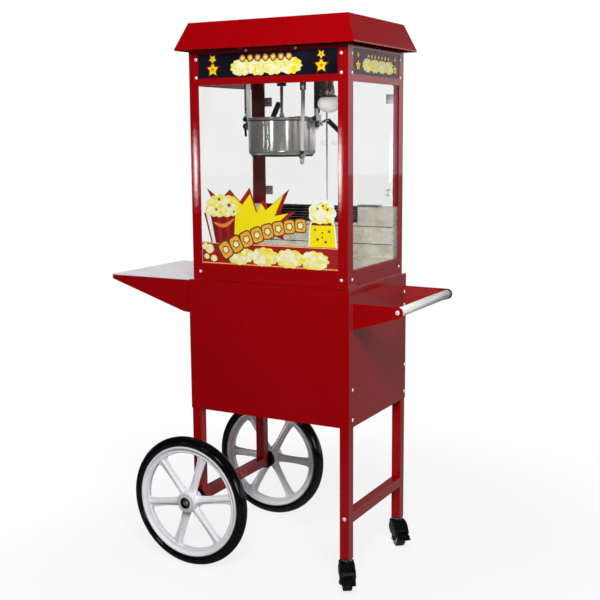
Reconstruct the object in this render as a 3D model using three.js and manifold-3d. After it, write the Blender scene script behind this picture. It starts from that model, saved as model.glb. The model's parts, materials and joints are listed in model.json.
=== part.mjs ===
// A popcorn machine on its red serving cart, in millimetres, +Z up.
// The customer side faces -Y, the folding side tray is on -X and the push handle on +X.
// The origin is on the floor under the middle of the whole object.
import * as THREE from "three";
import { mergeVertices } from "three/addons/utils/BufferGeometryUtils.js";
import Module from "manifold-3d";

const wasm = await Module();
wasm.setup();

// Driving dimensions of the cart.
const cartLength = 508;
const cartDepth = 388;
const cabinetBottom = 459;
const cabinetTop = 837;
const trayReach = 283;
const handleReach = 148;
const tube = 28;
const tubeWall = 1.5;
const sheet = 1.2;
const gap = 0.4;

// Driving dimensions of the wheels and casters.
const wheelRadius = 192;
const wheelPlane = 237;
const tyreWidth = 36;
const rimRadius = 164.5;
const hubRadius = 30;
const axleRadius = 6;
const running = 0.3;
const casterHeight = 88;
const casterRadius = 25;
const casterTrail = 16;
const casterTurn = { front: -58, rear: -47 };
const frontWheelRoll = 11;

// Driving dimensions of the machine that stands on the cart.
const caseLength = 490;
const caseDepth = 364;
const postWidth = 30;
const postWall = 2;
const baseTop = 884;
const openingTop = 1378;
const rearOpeningTop = 1400;
const signBottom = 1397;
const signTop = 1462;
const ceilingHeight = 1420;
const eaveHeight = 1472.5;
const roofTop = 1548;
const eaveReach = 29;

// Driving dimensions of the kettle.
const kettleRadius = 97;
const kettleBottom = 1184;
const kettleRim = 1289;
const tiltHeight = 1272;
const hangerOffset = 112;

// Positions worked out from the driving dimensions.
const overallLength = trayReach + cartLength + handleReach;
const cartLeft = trayReach - overallLength / 2;
const cartRight = cartLeft + cartLength;
const cartMiddle = (cartLeft + cartRight) / 2;
const halfDepth = cartDepth / 2;
const inset = sheet + gap;
const legX = [cartLeft + inset + tube / 2, cartRight - inset - tube / 2];
const legY = halfDepth - inset - tube / 2;
const legTop = cabinetTop - sheet - gap;
const caseLeft = cartMiddle - caseLength / 2;
const caseRight = cartMiddle + caseLength / 2;
const halfCase = caseDepth / 2;
const baseBottom = cabinetTop + gap;
const skirtInset = 6;
const railFace = 0.3;
const skirtWall = 1.5;
const kettleX = cartMiddle - 53;
const bracketFace = 184;
const bracketWall = 2.5;

const red = new THREE.MeshStandardMaterial({ color: 0xa00008, roughness: 0.25, metalness: 0 });
const black = new THREE.MeshStandardMaterial({ color: 0x111113, roughness: 0.4, metalness: 0 });
const rubber = new THREE.MeshStandardMaterial({ color: 0x0c0c0e, roughness: 0.35, metalness: 0 });
const silver = new THREE.MeshStandardMaterial({ color: 0xd6d6de, roughness: 0.35, metalness: 0.3 });
const steel = new THREE.MeshStandardMaterial({ color: 0xc8c8ca, roughness: 0.25, metalness: 1 });
const white = new THREE.MeshStandardMaterial({ color: 0xf2f2ee, roughness: 0.3, metalness: 0 });
const clear = new THREE.MeshStandardMaterial({
  color: 0xf4f8f8,
  roughness: 0.05,
  metalness: 0,
  transparent: true,
  opacity: 0.2,
});

const cart = new THREE.Group();

function piece(name, geometry, material, position = [0, 0, 0], turnZ = 0) {
  const mesh = new THREE.Mesh(geometry, material.clone());
  mesh.name = name;
  mesh.position.set(...position);
  mesh.rotation.z = turnZ;
  cart.add(mesh);
}

// A closed geometry as a manifold solid: shared vertices, no collapsed triangles, faces outwards.
function solidOf(geometry) {
  const bare = new THREE.BufferGeometry();
  const source = geometry.index ? geometry.toNonIndexed() : geometry;
  bare.setAttribute("position", source.getAttribute("position"));
  const merged = mergeVertices(bare, 1e-3);
  const corners = merged.index.array;
  const points = merged.attributes.position.array;
  const kept = [];
  let volume = 0;
  for (let i = 0; i < corners.length; i += 3) {
    const [a, b, c] = [corners[i], corners[i + 1], corners[i + 2]];
    if (a === b || b === c || c === a) continue;
    kept.push(a, b, c);
    const p = new THREE.Vector3().fromArray(points, 3 * a);
    const q = new THREE.Vector3().fromArray(points, 3 * b);
    const r = new THREE.Vector3().fromArray(points, 3 * c);
    volume += p.dot(q.cross(r));
  }
  const triVerts = new Uint32Array(volume < 0 ? kept.reverse() : kept);
  return new wasm.Manifold(new wasm.Mesh({ numProp: 3, vertProperties: points, triVerts }));
}

function geometryOf(solid) {
  const mesh = solid.getMesh();
  const geometry = new THREE.BufferGeometry();
  geometry.setAttribute("position", new THREE.BufferAttribute(mesh.vertProperties, 3));
  geometry.setIndex(new THREE.BufferAttribute(mesh.triVerts, 1));
  return geometry;
}

function join(...geometries) {
  return geometryOf(geometries.map(solidOf).reduce((sum, next) => sum.add(next)));
}

function cut(geometry, ...tools) {
  return geometryOf(tools.map(solidOf).reduce((rest, tool) => rest.subtract(tool), solidOf(geometry)));
}

function box(x0, x1, y0, y1, z0, z1) {
  const geometry = new THREE.BoxGeometry(x1 - x0, y1 - y0, z1 - z0);
  return geometry.translate((x0 + x1) / 2, (y0 + y1) / 2, (z0 + z1) / 2);
}

// A round bar between two points.
function rod(from, to, radius, sides = 24) {
  const start = new THREE.Vector3(...from);
  const along = new THREE.Vector3(...to).sub(start);
  const geometry = new THREE.CylinderGeometry(radius, radius, along.length(), sides);
  const turn = new THREE.Quaternion().setFromUnitVectors(
    new THREE.Vector3(0, 1, 0),
    along.clone().normalize(),
  );
  geometry.applyQuaternion(turn);
  return geometry.translate(...start.addScaledVector(along, 0.5).toArray());
}

function ball(center, radius) {
  return new THREE.SphereGeometry(radius, 20, 12).translate(...center);
}

// A flat plate whose outline lies in the X-Z plane, from y0 to y1.
function sidePlate(outline, y0, y1) {
  const geometry = new THREE.ExtrudeGeometry(outline, {
    depth: y1 - y0,
    bevelEnabled: false,
    curveSegments: 12,
  });
  return geometry.rotateX(Math.PI / 2).translate(0, y1, 0);
}

function outlineOf(points) {
  return new THREE.Shape(points.map(([x, y]) => new THREE.Vector2(x, y)));
}

// A ring or cup turned about the Z axis from a list of [radius, height].
function turned(profile, sides) {
  const points = profile.map(([r, z]) => new THREE.Vector2(r, z));
  return new THREE.LatheGeometry(points, sides).rotateX(Math.PI / 2);
}

// The same, turned about the Y axis, for wheels.
function turnedAboutY(profile, sides) {
  const points = profile.map(([r, y]) => new THREE.Vector2(r, y));
  return new THREE.LatheGeometry(points, sides);
}

// A box whose top rectangle is inset from its bottom one.
function hipped(x0, x1, y0, y1, z0, z1, reach) {
  const geometry = box(x0, x1, y0, y1, z0, z1);
  const place = geometry.attributes.position;
  const middleX = (x0 + x1) / 2;
  const middleY = (y0 + y1) / 2;
  for (let i = 0; i < place.count; i += 1) {
    if (place.getZ(i) < (z0 + z1) / 2) {
      place.setX(i, place.getX(i) + Math.sign(place.getX(i) - middleX) * reach);
      place.setY(i, place.getY(i) + Math.sign(place.getY(i) - middleY) * reach);
    }
  }
  return geometry;
}

function squareTube(half, z0, z1) {
  const inner = half - tubeWall;
  return cut(box(-half, half, -half, half, z0, z1), box(-inner, inner, -inner, inner, z0 - 1, z1 + 1));
}

// Legs: the left pair ends around the wheel axle, the right pair on the casters.
function legs() {
  const half = tube / 2;
  const bore = rod([0, -tube, wheelRadius], [0, tube, wheelRadius], axleRadius + running);
  const leftLeg = cut(squareTube(half, wheelRadius - half, legTop), bore);
  const rightLeg = squareTube(half, casterHeight, legTop);
  piece("leg_front_left", leftLeg, red, [legX[0], -legY, 0]);
  piece("leg_rear_left", leftLeg, red, [legX[0], legY, 0]);
  piece("leg_front_right", rightLeg, red, [legX[1], -legY, 0]);
  piece("leg_rear_right", rightLeg, red, [legX[1], legY, 0]);
}

// Braces: square tubes from front leg to rear leg, the left one around the axle.
function braces() {
  const reach = legY - tube / 2 - gap;
  const half = tube / 2;
  const inner = half - tubeWall;
  const outside = box(-half, half, -reach, reach, -half, half);
  const brace = cut(outside, box(-inner, inner, -reach - 1, reach + 1, -inner, inner));
  piece("brace_left", brace, red, [legX[0], 0, wheelRadius]);
  piece("brace_right", brace, red, [legX[1], 0, wheelRadius + 10]);
}

// The axle with a spacer outside each left leg and a nut in each hub's recess.
function axle() {
  const parts = [rod([0, -wheelPlane - 28, 0], [0, wheelPlane + 28, 0], axleRadius)];
  for (const side of [-1, 1]) {
    parts.push(rod([0, side * (halfDepth + 2), 0], [0, side * (wheelPlane - 19), 0], hubRadius - 2, 32));
    parts.push(rod([0, side * (wheelPlane + 17.4), 0], [0, side * (wheelPlane + 25), 0], 8.5, 6));
  }
  piece("axle", join(...parts), steel, [legX[0], 0, wheelRadius]);
}

const rimInner = rimRadius - 21;

// A cast wheel with a rim band, six ribbed spokes and a hub; its outer face looks along -Y.
function castWheel(roll) {
  const rim = turnedAboutY(
    [
      [rimRadius, -14],
      [rimRadius, 14],
      [rimRadius - 6, 14],
      [rimRadius - 9, 7],
      [rimInner, 5.5],
      [rimInner, -5.5],
      [rimRadius - 9, -7],
      [rimRadius - 6, -14],
      [rimRadius, -14],
    ],
    48,
  );
  const parts = [rim, rod([0, -25, 0], [0, 18, 0], hubRadius, 32)];
  const web = outlineOf([
    [15, -11],
    [rimInner + 5, -14],
    [rimInner + 5, 14],
    [15, 11],
  ]);
  const rib = outlineOf([
    [15, -14],
    [rimInner + 5, -7],
    [rimInner + 5, 7],
    [15, 10],
  ]);
  for (let spoke = 0; spoke < 6; spoke += 1) {
    const turn = (spoke * Math.PI) / 3 - THREE.MathUtils.degToRad(roll);
    parts.push(sidePlate(web, -3, 3).rotateY(turn));
    const ribPlate = new THREE.ExtrudeGeometry(rib, { depth: 5, bevelEnabled: false });
    parts.push(ribPlate.translate(0, 0, -2.5).rotateY(turn));
  }
  const bore = rod([0, -40, 0], [0, 40, 0], axleRadius + running);
  const recess = rod([0, -40, 0], [0, -17, 0], 13);
  return cut(join(...parts), bore, recess);
}

function tyre() {
  const round = 20;
  const crown = wheelRadius - round;
  const profile = [
    [rimRadius + gap, -14],
    [crown, -tyreWidth / 2],
  ];
  for (let step = 1; step < 8; step += 1) {
    const angle = -Math.PI / 2 + (step * Math.PI) / 8;
    profile.push([crown + round * Math.cos(angle), (tyreWidth / 2) * Math.sin(angle)]);
  }
  profile.push([crown, tyreWidth / 2], [rimRadius + gap, 14], [rimRadius + gap, -14]);
  return turnedAboutY(profile, 48);
}

function bigWheels() {
  const ring = geometryOf(solidOf(tyre()));
  for (const [end, side, turn, roll] of [
    ["front", -1, 0, frontWheelRoll],
    ["rear", 1, Math.PI, 0],
  ]) {
    const place = [legX[0], side * wheelPlane, wheelRadius];
    piece(`wheel_${end}`, castWheel(roll), silver, place, turn);
    piece(`tyre_${end}`, ring, rubber, place, turn);
  }
}

// A swivel caster: the wheel trails along local +X behind the stem.
function casterHood() {
  const outline = new THREE.Shape();
  outline.moveTo(-15, 50);
  outline.lineTo(-14, 78);
  outline.lineTo(14, 78);
  outline.quadraticCurveTo(40, 74, 47, 44);
  outline.lineTo(41, 33);
  outline.lineTo(casterTrail + 8, 33);
  outline.lineTo(casterTrail + 6, 18);
  outline.lineTo(casterTrail - 6, 18);
  outline.lineTo(casterTrail - 8, 33);
  outline.quadraticCurveTo(-10, 34, -15, 50);
  const axlePin = rod([casterTrail, -18, casterRadius], [casterTrail, 18, casterRadius], 4);
  const well = rod([casterTrail, -15, casterRadius], [casterTrail, 15, casterRadius], 28);
  const pedalSlot = box(34, 60, -17.5, 17.5, 26, 52);
  const shell = cut(sidePlate(outline, -21, 21), well, pedalSlot);
  const cap = rod([0, 0, 77], [0, 0, casterHeight - gap], 17);
  const stem = rod([0, 0, 80], [0, 0, casterHeight + 22], 5);
  return join(shell, axlePin, cap, stem);
}

function casterWheel() {
  const profile = [
    [4.3, -13],
    [23, -13],
    [casterRadius, -10],
    [casterRadius, 10],
    [23, 13],
    [4.3, 13],
    [4.3, -13],
  ];
  return turnedAboutY(profile, 32);
}

function brakePedal() {
  const lever = outlineOf([
    [40, 40],
    [50, 42],
    [64, 32],
    [66, 35],
    [52, 47],
    [40, 44],
  ]);
  return sidePlate(lever, -16.5, 16.5);
}

function casters() {
  for (const [end, side] of [
    ["front", -1],
    ["rear", 1],
  ]) {
    const turn = THREE.MathUtils.degToRad(casterTurn[end]);
    const foot = [legX[1], side * legY, 0];
    const wheelPlace = [
      foot[0] + casterTrail * Math.cos(turn),
      foot[1] + casterTrail * Math.sin(turn),
      casterRadius,
    ];
    piece(`caster_${end}`, casterHood(), black, foot, turn);
    piece(`caster_wheel_${end}`, casterWheel(), black, wheelPlace, turn);
    piece(`brake_pedal_${end}`, brakePedal(), black, foot, turn);
  }
}

// Cabinet: a front panel with side returns, two side panels, a floor, a top and a rear door.
function cabinet() {
  const panelTop = cabinetTop - sheet - gap;
  const returnDepth = 15;
  const front = join(
    box(cartLeft, cartRight, -halfDepth, -halfDepth + sheet, cabinetBottom, panelTop),
    box(cartLeft, cartLeft + sheet, -halfDepth, -halfDepth + returnDepth, cabinetBottom, panelTop),
    box(cartRight - sheet, cartRight, -halfDepth, -halfDepth + returnDepth, cabinetBottom, panelTop),
  );
  piece("panel_front", front, red);
  const sideStart = -halfDepth + returnDepth + gap;
  const side = box(0, sheet, sideStart, halfDepth, cabinetBottom, panelTop);
  piece("panel_left", side, red, [cartLeft, 0, 0]);
  piece("panel_right", side, red, [cartRight - sheet, 0, 0]);
  piece("cabinet_top", box(cartLeft, cartRight, -halfDepth, halfDepth, cabinetTop - sheet, cabinetTop), red);

  const floorX = [cartLeft + inset, cartRight - inset];
  const floorY = halfDepth - inset;
  const corner = tube + gap;
  const floorPlate = box(floorX[0], floorX[1], -floorY, floorY, cabinetBottom + 3, cabinetBottom + 5);
  const notches = [];
  for (const x of floorX) {
    for (const y of [-floorY, floorY]) {
      notches.push(box(x - corner, x + corner, y - corner, y + corner, 0, cabinetTop));
    }
  }
  piece("cabinet_floor", cut(floorPlate, ...notches), red);
}

// The rear cabinet door: a folded pan with two hinge knuckles and a round knob.
function cabinetDoor() {
  const left = legX[0] + tube / 2 + gap;
  const right = legX[1] - tube / 2 - gap;
  const low = cabinetBottom + 8;
  const high = legTop - 4;
  const face = halfDepth - gap;
  const fold = 12;
  const pan = cut(
    box(left, right, face - fold, face, low, high),
    box(left + sheet, right - sheet, face - fold - 1, face - sheet, low + sheet, high - sheet),
  );
  const knobHeight = (low + high) / 2;
  const parts = [pan, rod([right - 22, face - 1, knobHeight], [right - 22, face + 20, knobHeight], 10)];
  for (const height of [low + 50, high - 50]) {
    parts.push(rod([left - 1, face + 2.5, height - 20], [left - 1, face + 2.5, height + 20], 3, 16));
    parts.push(box(left - 1, left + 20, face - 0.5, face + 2, height - 20, height + 20));
  }
  piece("cabinet_door", join(...parts), red);
}

// The side tray: a bright plate with a turned-down outer edge on two folded brackets.
function sideTray() {
  const tip = cartLeft - trayReach;
  const surface = cabinetTop - 2;
  const lip = 14;
  const top = join(
    box(tip, cartLeft - gap, -bracketFace, bracketFace, surface - 1.5, surface),
    box(tip, tip + 1.5, -bracketFace, bracketFace, surface - lip, surface),
  );
  piece("side_tray", top, steel);
  const root = cartLeft - gap;
  const drop = 97;
  const high = surface - 1.5 - gap;
  const outline = outlineOf([
    [root, high],
    [root, surface - drop],
    [root - 27, surface - drop + 2],
    [tip + 2, surface - lip],
    [tip + 2, high],
  ]);
  for (const [end, side] of [
    ["front", -1],
    ["rear", 1],
  ]) {
    const outer = side * bracketFace;
    const inner = side * (bracketFace - bracketWall);
    const flangeEnd = side * (bracketFace - 18);
    const [y0, y1] = [Math.min(outer, inner), Math.max(outer, inner)];
    const [f0, f1] = [Math.min(outer, flangeEnd), Math.max(outer, flangeEnd)];
    const flange = box(root - bracketWall, root, f0, f1, surface - drop + 2, high);
    const shelf = box(tip + 4, root, f0, f1, high - bracketWall, high);
    piece(`tray_bracket_${end}`, join(sidePlate(outline, y0, y1), flange, shelf), red);
  }
}

// The push handle: a tube between two tapered arms.
function pushHandle() {
  const gripX = cartRight + handleReach - 15;
  const gripZ = 785;
  const root = cartRight + gap;
  const outline = new THREE.Shape();
  outline.moveTo(root, 727);
  outline.lineTo(root, 801);
  outline.lineTo(gripX, gripZ + 15);
  outline.absarc(gripX, gripZ, 15, Math.PI / 2, -1.25, true);
  outline.lineTo(root, 727);
  for (const [end, side] of [
    ["front", -1],
    ["rear", 1],
  ]) {
    const outer = side * bracketFace;
    const inner = side * (bracketFace - bracketWall);
    const flangeEnd = side * (bracketFace - 18);
    const [y0, y1] = [Math.min(outer, inner), Math.max(outer, inner)];
    const [f0, f1] = [Math.min(outer, flangeEnd), Math.max(outer, flangeEnd)];
    const flange = box(root, root + bracketWall, f0, f1, 730, 799);
    piece(`handle_arm_${end}`, join(sidePlate(outline, y0, y1), flange), red);
  }
  const half = bracketFace - bracketWall - gap;
  const grip = cut(rod([0, -half, 0], [0, half, 0], 12.5, 32), rod([0, -half - 1, 0], [0, half + 1, 0], 11, 24));
  piece("handle_tube", grip, silver, [gripX, 0, gripZ]);
}

// Four angle posts stand at the corners of the case.
function posts() {
  const height = eaveHeight - gap - baseBottom;
  const angle = join(
    box(0, postWidth, 0, postWall, 0, height),
    box(0, postWall, 0, postWidth, 0, height),
  );
  const corners = [
    ["post_front_left", caseLeft, -halfCase, 0],
    ["post_front_right", caseRight, -halfCase, Math.PI / 2],
    ["post_rear_right", caseRight, halfCase, Math.PI],
    ["post_rear_left", caseLeft, halfCase, -Math.PI / 2],
  ];
  for (const [name, x, y, turn] of corners) piece(name, angle, red, [x, y, baseBottom], turn);
}

// A ring of sheet around the case, inset behind the posts.
function skirt(z0, z1) {
  const [x0, x1] = [caseLeft + skirtInset, caseRight - skirtInset];
  const y = halfCase - skirtInset;
  return cut(
    box(x0, x1, -y, y, z0, z1),
    box(x0 + skirtWall, x1 - skirtWall, -y + skirtWall, y - skirtWall, z0 - 1, z1 + 1),
  );
}

// The four bars that fill the spaces between neighbouring posts, from z0 to z1.
function frontRail(z0, z1) {
  const end = postWidth + gap;
  const back = -halfCase + skirtInset + skirtWall;
  return box(caseLeft + end, caseRight - end, -halfCase + railFace, back, z0, z1);
}

function rearRail(z0, z1) {
  const end = postWidth + gap;
  const back = halfCase - skirtInset - skirtWall;
  return box(caseLeft + end, caseRight - end, back, halfCase - railFace, z0, z1);
}

function sideRails(z0, z1) {
  const y = halfCase - postWidth - gap;
  const depth = skirtInset + skirtWall;
  return [
    box(caseLeft + railFace, caseLeft + depth, -y, y, z0, z1),
    box(caseRight - depth, caseRight - railFace, -y, y, z0, z1),
  ];
}

// Drawer opening in the rear of the base, and the drawer that fits it.
const drawerHalf = 110;
const drawerLow = baseBottom + 2;
const drawerHigh = 871;
const drawerFront = -100;

function machineBase() {
  const floorPlate = box(
    caseLeft + skirtInset,
    caseRight - skirtInset,
    -halfCase + skirtInset,
    halfCase - skirtInset,
    baseBottom,
    baseBottom + 1.5,
  );
  const rails = [
    frontRail(baseBottom, baseTop),
    rearRail(baseBottom, baseTop),
    ...sideRails(baseBottom, baseTop),
  ];
  const mouth = box(
    cartMiddle - drawerHalf,
    cartMiddle + drawerHalf,
    halfCase - 20,
    halfCase + 5,
    baseBottom + 1.5,
    drawerHigh + 1,
  );
  piece("machine_base", cut(join(skirt(baseBottom, baseTop), floorPlate, ...rails), mouth), red);
}

function kernelDrawer() {
  const half = drawerHalf - 1;
  const back = halfCase - railFace + 0.7;
  const wall = 1.2;
  const body = cut(
    box(cartMiddle - half, cartMiddle + half, drawerFront, back, drawerLow, drawerHigh - 2),
    box(
      cartMiddle - half + wall,
      cartMiddle + half - wall,
      drawerFront + wall,
      back - wall,
      drawerLow + wall,
      drawerHigh,
    ),
  );
  const face = box(cartMiddle - half - 8, cartMiddle + half + 8, back, back + 1.5, drawerLow, drawerHigh + 8);
  const pull = box(cartMiddle - 40, cartMiddle + 40, back, back + 16, drawerHigh - 2, drawerHigh);
  piece("kernel_drawer", join(body, face, pull), steel);
}

// The upper frame: ring, ceiling, rails above and below the signs, and a plain rear header.
function topFrame() {
  const top = eaveHeight - 2.5;
  const ceiling = box(
    caseLeft + skirtInset,
    caseRight - skirtInset,
    -halfCase + skirtInset,
    halfCase - skirtInset,
    ceilingHeight,
    ceilingHeight + 1.5,
  );
  const rails = [
    frontRail(openingTop, signBottom),
    frontRail(signTop, top),
    ...sideRails(openingTop, signBottom),
    ...sideRails(signTop, top),
    rearRail(rearOpeningTop, top),
  ];
  const doorway = box(
    caseLeft + postWidth,
    caseRight - postWidth,
    halfCase - skirtInset - skirtWall - 1,
    halfCase,
    openingTop - 1,
    rearOpeningTop,
  );
  piece("top_frame", cut(join(skirt(openingTop, top), ceiling, ...rails), doorway), red);
}

// The roof: a shell with four hips and a flat top that overhangs the case.
function roof() {
  const wall = 2;
  const lip = 4;
  const outer = join(
    hipped(caseLeft, caseRight, -halfCase, halfCase, eaveHeight + lip, roofTop, eaveReach),
    box(
      caseLeft - eaveReach,
      caseRight + eaveReach,
      -halfCase - eaveReach,
      halfCase + eaveReach,
      eaveHeight,
      eaveHeight + lip,
    ),
  );
  const hollow = join(
    hipped(
      caseLeft + wall,
      caseRight - wall,
      -halfCase + wall,
      halfCase - wall,
      eaveHeight + lip,
      roofTop - wall,
      eaveReach - wall,
    ),
    box(
      caseLeft - eaveReach + wall,
      caseRight + eaveReach - wall,
      -halfCase - eaveReach + wall,
      halfCase + eaveReach - wall,
      eaveHeight - 1,
      eaveHeight + lip,
    ),
  );
  piece("roof", cut(outer, hollow), red);
}

// Black sign plates on the front and both sides, between the upper rails.
function signs() {
  const [low, high] = [signBottom + gap, signTop - gap];
  const front = 1.2;
  const back = skirtInset - gap;
  const end = postWidth + 2 * gap;
  const y = halfCase - end;
  piece("sign_front", box(caseLeft + end, caseRight - end, -halfCase + front, -halfCase + back, low, high), black);
  piece("sign_left", box(caseLeft + front, caseLeft + back, -y, y, low, high), black);
  piece("sign_right", box(caseRight - back, caseRight - front, -y, y, low, high), black);
}

// Clear panes behind the posts, on the front and both sides.
function panes() {
  const [low, high] = [baseTop + gap, openingTop - gap];
  const outer = postWall + gap;
  const inner = outer + 3;
  const end = skirtInset;
  const y = halfCase - end;
  piece("glass_front", box(caseLeft + end, caseRight - end, -halfCase + outer, -halfCase + inner, low, high), clear);
  piece("glass_left", box(caseLeft + outer, caseLeft + inner, -y, y, low, high), clear);
  piece("glass_right", box(caseRight - inner, caseRight - outer, -y, y, low, high), clear);
}

// Two clear doors on the operator side, hinged at the rear posts and meeting in the middle.
const controlTop = 1033;

function caseDoors() {
  const low = controlTop + 3;
  const high = rearOpeningTop - 2;
  const post = caseLeft + postWidth;
  const width = cartMiddle - post;
  for (const [end, side] of [
    ["left", -1],
    ["right", 1],
  ]) {
    // Built for a hinge on the left; the right door is the same outline mirrored in X.
    const across = (x) => (side < 0 ? post + x : caseRight - postWidth - x);
    const span = (a, b) => [Math.min(across(a), across(b)), Math.max(across(a), across(b))];
    const pane = box(...span(0.8, width - 0.5), halfCase - 4.4, halfCase - gap, low, high);
    const parts = [pane];
    for (const height of [low + 37, high - 56]) {
      parts.push(box(...span(0, 24), halfCase - 1, halfCase + 2.5, height - 13.5, height + 13.5));
      const pin = [across(-0.1), halfCase + 3.6];
      parts.push(rod([...pin, height - 13.5], [...pin, height + 13.5], 3, 16));
    }
    const knob = [across(width - 18), (low + high) / 2];
    parts.push(rod([knob[0], halfCase - 1, knob[1]], [knob[0], halfCase + 16, knob[1]], 7));
    piece(`case_door_${end}`, join(...parts), clear);
  }
}

// The popcorn deck, with slots that let unpopped kernels fall into the drawer.
const controlFront = 131;

function deck() {
  const edge = skirtInset + 0.5;
  const plate = box(
    caseLeft + edge,
    caseRight - edge,
    -halfCase + edge,
    controlFront - gap,
    baseTop + gap,
    baseTop + 2,
  );
  const slots = [];
  for (let column = -3; column <= 3; column += 1) {
    for (let row = 0; row < 4; row += 1) {
      const x = cartMiddle + column * 28;
      const y = -60 + row * 40;
      slots.push(box(x - 2, x + 2, y - 14, y + 14, baseTop - 5, baseTop + 5));
    }
  }
  piece("deck", cut(plate, ...slots), steel);
}

// The control box at the rear, open below, with three rocker switches in its outer face.
const switchOffsets = [-60, 0, 60];
const switchHeight = 975;
const rocker = { width: 15, height: 25, depth: 8 };

function controlPanel() {
  const wall = 1.5;
  const low = baseTop + gap;
  const inside = caseLength / 2 - skirtInset - 1.5;
  const narrow = caseLength / 2 - postWidth - 1;
  const rearFace = halfCase - railFace;
  const innerFace = halfCase - postWall - gap;
  const outer = join(
    box(cartMiddle - inside, cartMiddle + inside, controlFront, innerFace, low, controlTop),
    box(cartMiddle - narrow, cartMiddle + narrow, innerFace - 5, rearFace, low, controlTop),
  );
  const hollow = join(
    box(
      cartMiddle - inside + wall,
      cartMiddle + inside - wall,
      controlFront + wall,
      innerFace - wall,
      low - 1,
      controlTop - wall,
    ),
    box(
      cartMiddle - narrow + wall,
      cartMiddle + narrow - wall,
      innerFace - 5,
      rearFace - wall,
      low - 1,
      controlTop - wall,
    ),
  );
  const holes = switchOffsets.map((offset) =>
    box(
      cartMiddle + offset - rocker.width / 2 - 1,
      cartMiddle + offset + rocker.width / 2 + 1,
      rearFace - 6,
      rearFace + 5,
      switchHeight - rocker.height / 2 - 1.5,
      switchHeight + rocker.height / 2 + 1.5,
    ),
  );
  piece("control_panel", cut(outer, hollow, ...holes), steel);
}

function switches() {
  const names = ["switch_power", "switch_heat", "switch_light"];
  const halfX = rocker.width / 2;
  const halfZ = rocker.height / 2;
  names.forEach((name, i) => {
    const body = box(-halfX, halfX, -rocker.depth / 2, rocker.depth / 2, -halfZ, halfZ);
    body.rotateX(THREE.MathUtils.degToRad(-7));
    piece(name, body, black, [cartMiddle + switchOffsets[i], halfCase, switchHeight]);
  });
}

// Two flat bars hang from the ceiling and carry the kettle's trunnions.
function hangers() {
  const top = ceilingHeight - gap;
  const bar = join(box(-1.5, 1.5, -12.5, 12.5, tiltHeight - 16, top), box(-1.5, 20, -12.5, 12.5, top - 2, top));
  const bore = rod([-10, 0, tiltHeight], [10, 0, tiltHeight], 5 + running);
  const hanger = cut(bar, bore);
  piece("hanger_left", hanger, steel, [kettleX - hangerOffset, 0, 0], Math.PI);
  piece("hanger_right", hanger, steel, [kettleX + hangerOffset, 0, 0]);
}

const coverDrop = 3;

// The kettle: a pan with a rolled rim, heater cover, bridge, trunnions and tipping lever.
function kettle() {
  const bend = 14;
  const wall = 1.5;
  const floor = kettleBottom + 10;
  const profile = [[0, kettleBottom]];
  for (let step = 0; step <= 4; step += 1) {
    const angle = -Math.PI / 2 + (step * Math.PI) / 8;
    const r = kettleRadius - bend + bend * Math.cos(angle);
    profile.push([r, kettleBottom + bend + bend * Math.sin(angle)]);
  }
  profile.push(
    [kettleRadius, kettleRim - 5],
    [kettleRadius + 3, kettleRim - 3.5],
    [kettleRadius + 3, kettleRim - 0.5],
    [kettleRadius - wall, kettleRim],
    [kettleRadius - wall, floor + 8],
    [kettleRadius - wall - 8, floor],
    [0, floor],
  );
  const shell = turned(profile, 40).translate(kettleX, 0, 0);
  const cover = rod([kettleX, 0, kettleBottom - coverDrop], [kettleX, 0, kettleBottom + 1], 76, 32);
  const bridgeTop = kettleRim - 1.4;
  const bridgeHalf = kettleRadius - 1;
  const bridge = box(kettleX - bridgeHalf, kettleX + bridgeHalf, -8, 8, bridgeTop - 3.6, bridgeTop);
  const leverX = kettleX + hangerOffset + 14;
  const trunnions = [
    rod([kettleX - hangerOffset - 10, 0, tiltHeight], [kettleX - kettleRadius + 0.8, 0, tiltHeight], 5, 20),
    rod([kettleX + kettleRadius - 0.8, 0, tiltHeight], [leverX + 3, 0, tiltHeight], 5, 20),
  ];
  const bend1 = [leverX, 49, tiltHeight + 17];
  const lever = [
    rod([leverX, 0, tiltHeight], bend1, 4, 16),
    ball(bend1, 5),
    rod(bend1, [leverX, 124, tiltHeight - 24], 6, 20),
  ];
  const shaftHole = rod([kettleX, 0, bridgeTop - 10], [kettleX, 0, bridgeTop + 10], 5);
  piece("kettle", cut(join(shell, cover, bridge, ...trunnions, ...lever), shaftHole), steel);
}

// Two lid flaps hinged along the bridge; the rear one has a leaning handle.
function lidFlaps() {
  const radius = kettleRadius + 1;
  const hingeY = 9;
  const low = kettleRim + gap;
  const start = Math.asin(hingeY / radius);
  const outline = new THREE.Shape();
  outline.absarc(0, 0, radius, start, Math.PI - start, false);
  outline.closePath();
  const flap = new THREE.ExtrudeGeometry(outline, { depth: 1.2, bevelEnabled: false, curveSegments: 20 });
  const grip = rod([-54, 44, 0.6], [-48, 68, 40], 8, 20);
  piece("lid_front", geometryOf(solidOf(flap)), steel, [kettleX, 0, low], Math.PI);
  piece("lid_rear", join(flap, grip), steel, [kettleX, 0, low]);
}

// The drive coupling turns the agitator, whose shaft ends just below it.
const couplingLow = 1379;

function stirring() {
  const coupling = rod([0, 0, couplingLow], [0, 0, ceilingHeight - gap], 15.5, 28);
  piece("drive_coupling", coupling, black, [kettleX, 0, 0]);
  const floor = kettleBottom + 11.5;
  const agitator = join(
    rod([0, 0, floor], [0, 0, couplingLow - 0.6], 4.5, 20),
    box(-76, 76, -4, 4, floor, floor + 6),
    box(-4, 4, -50, 50, floor, floor + 6),
  );
  piece("agitator", agitator, steel, [kettleX, 0, 0]);
}

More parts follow.
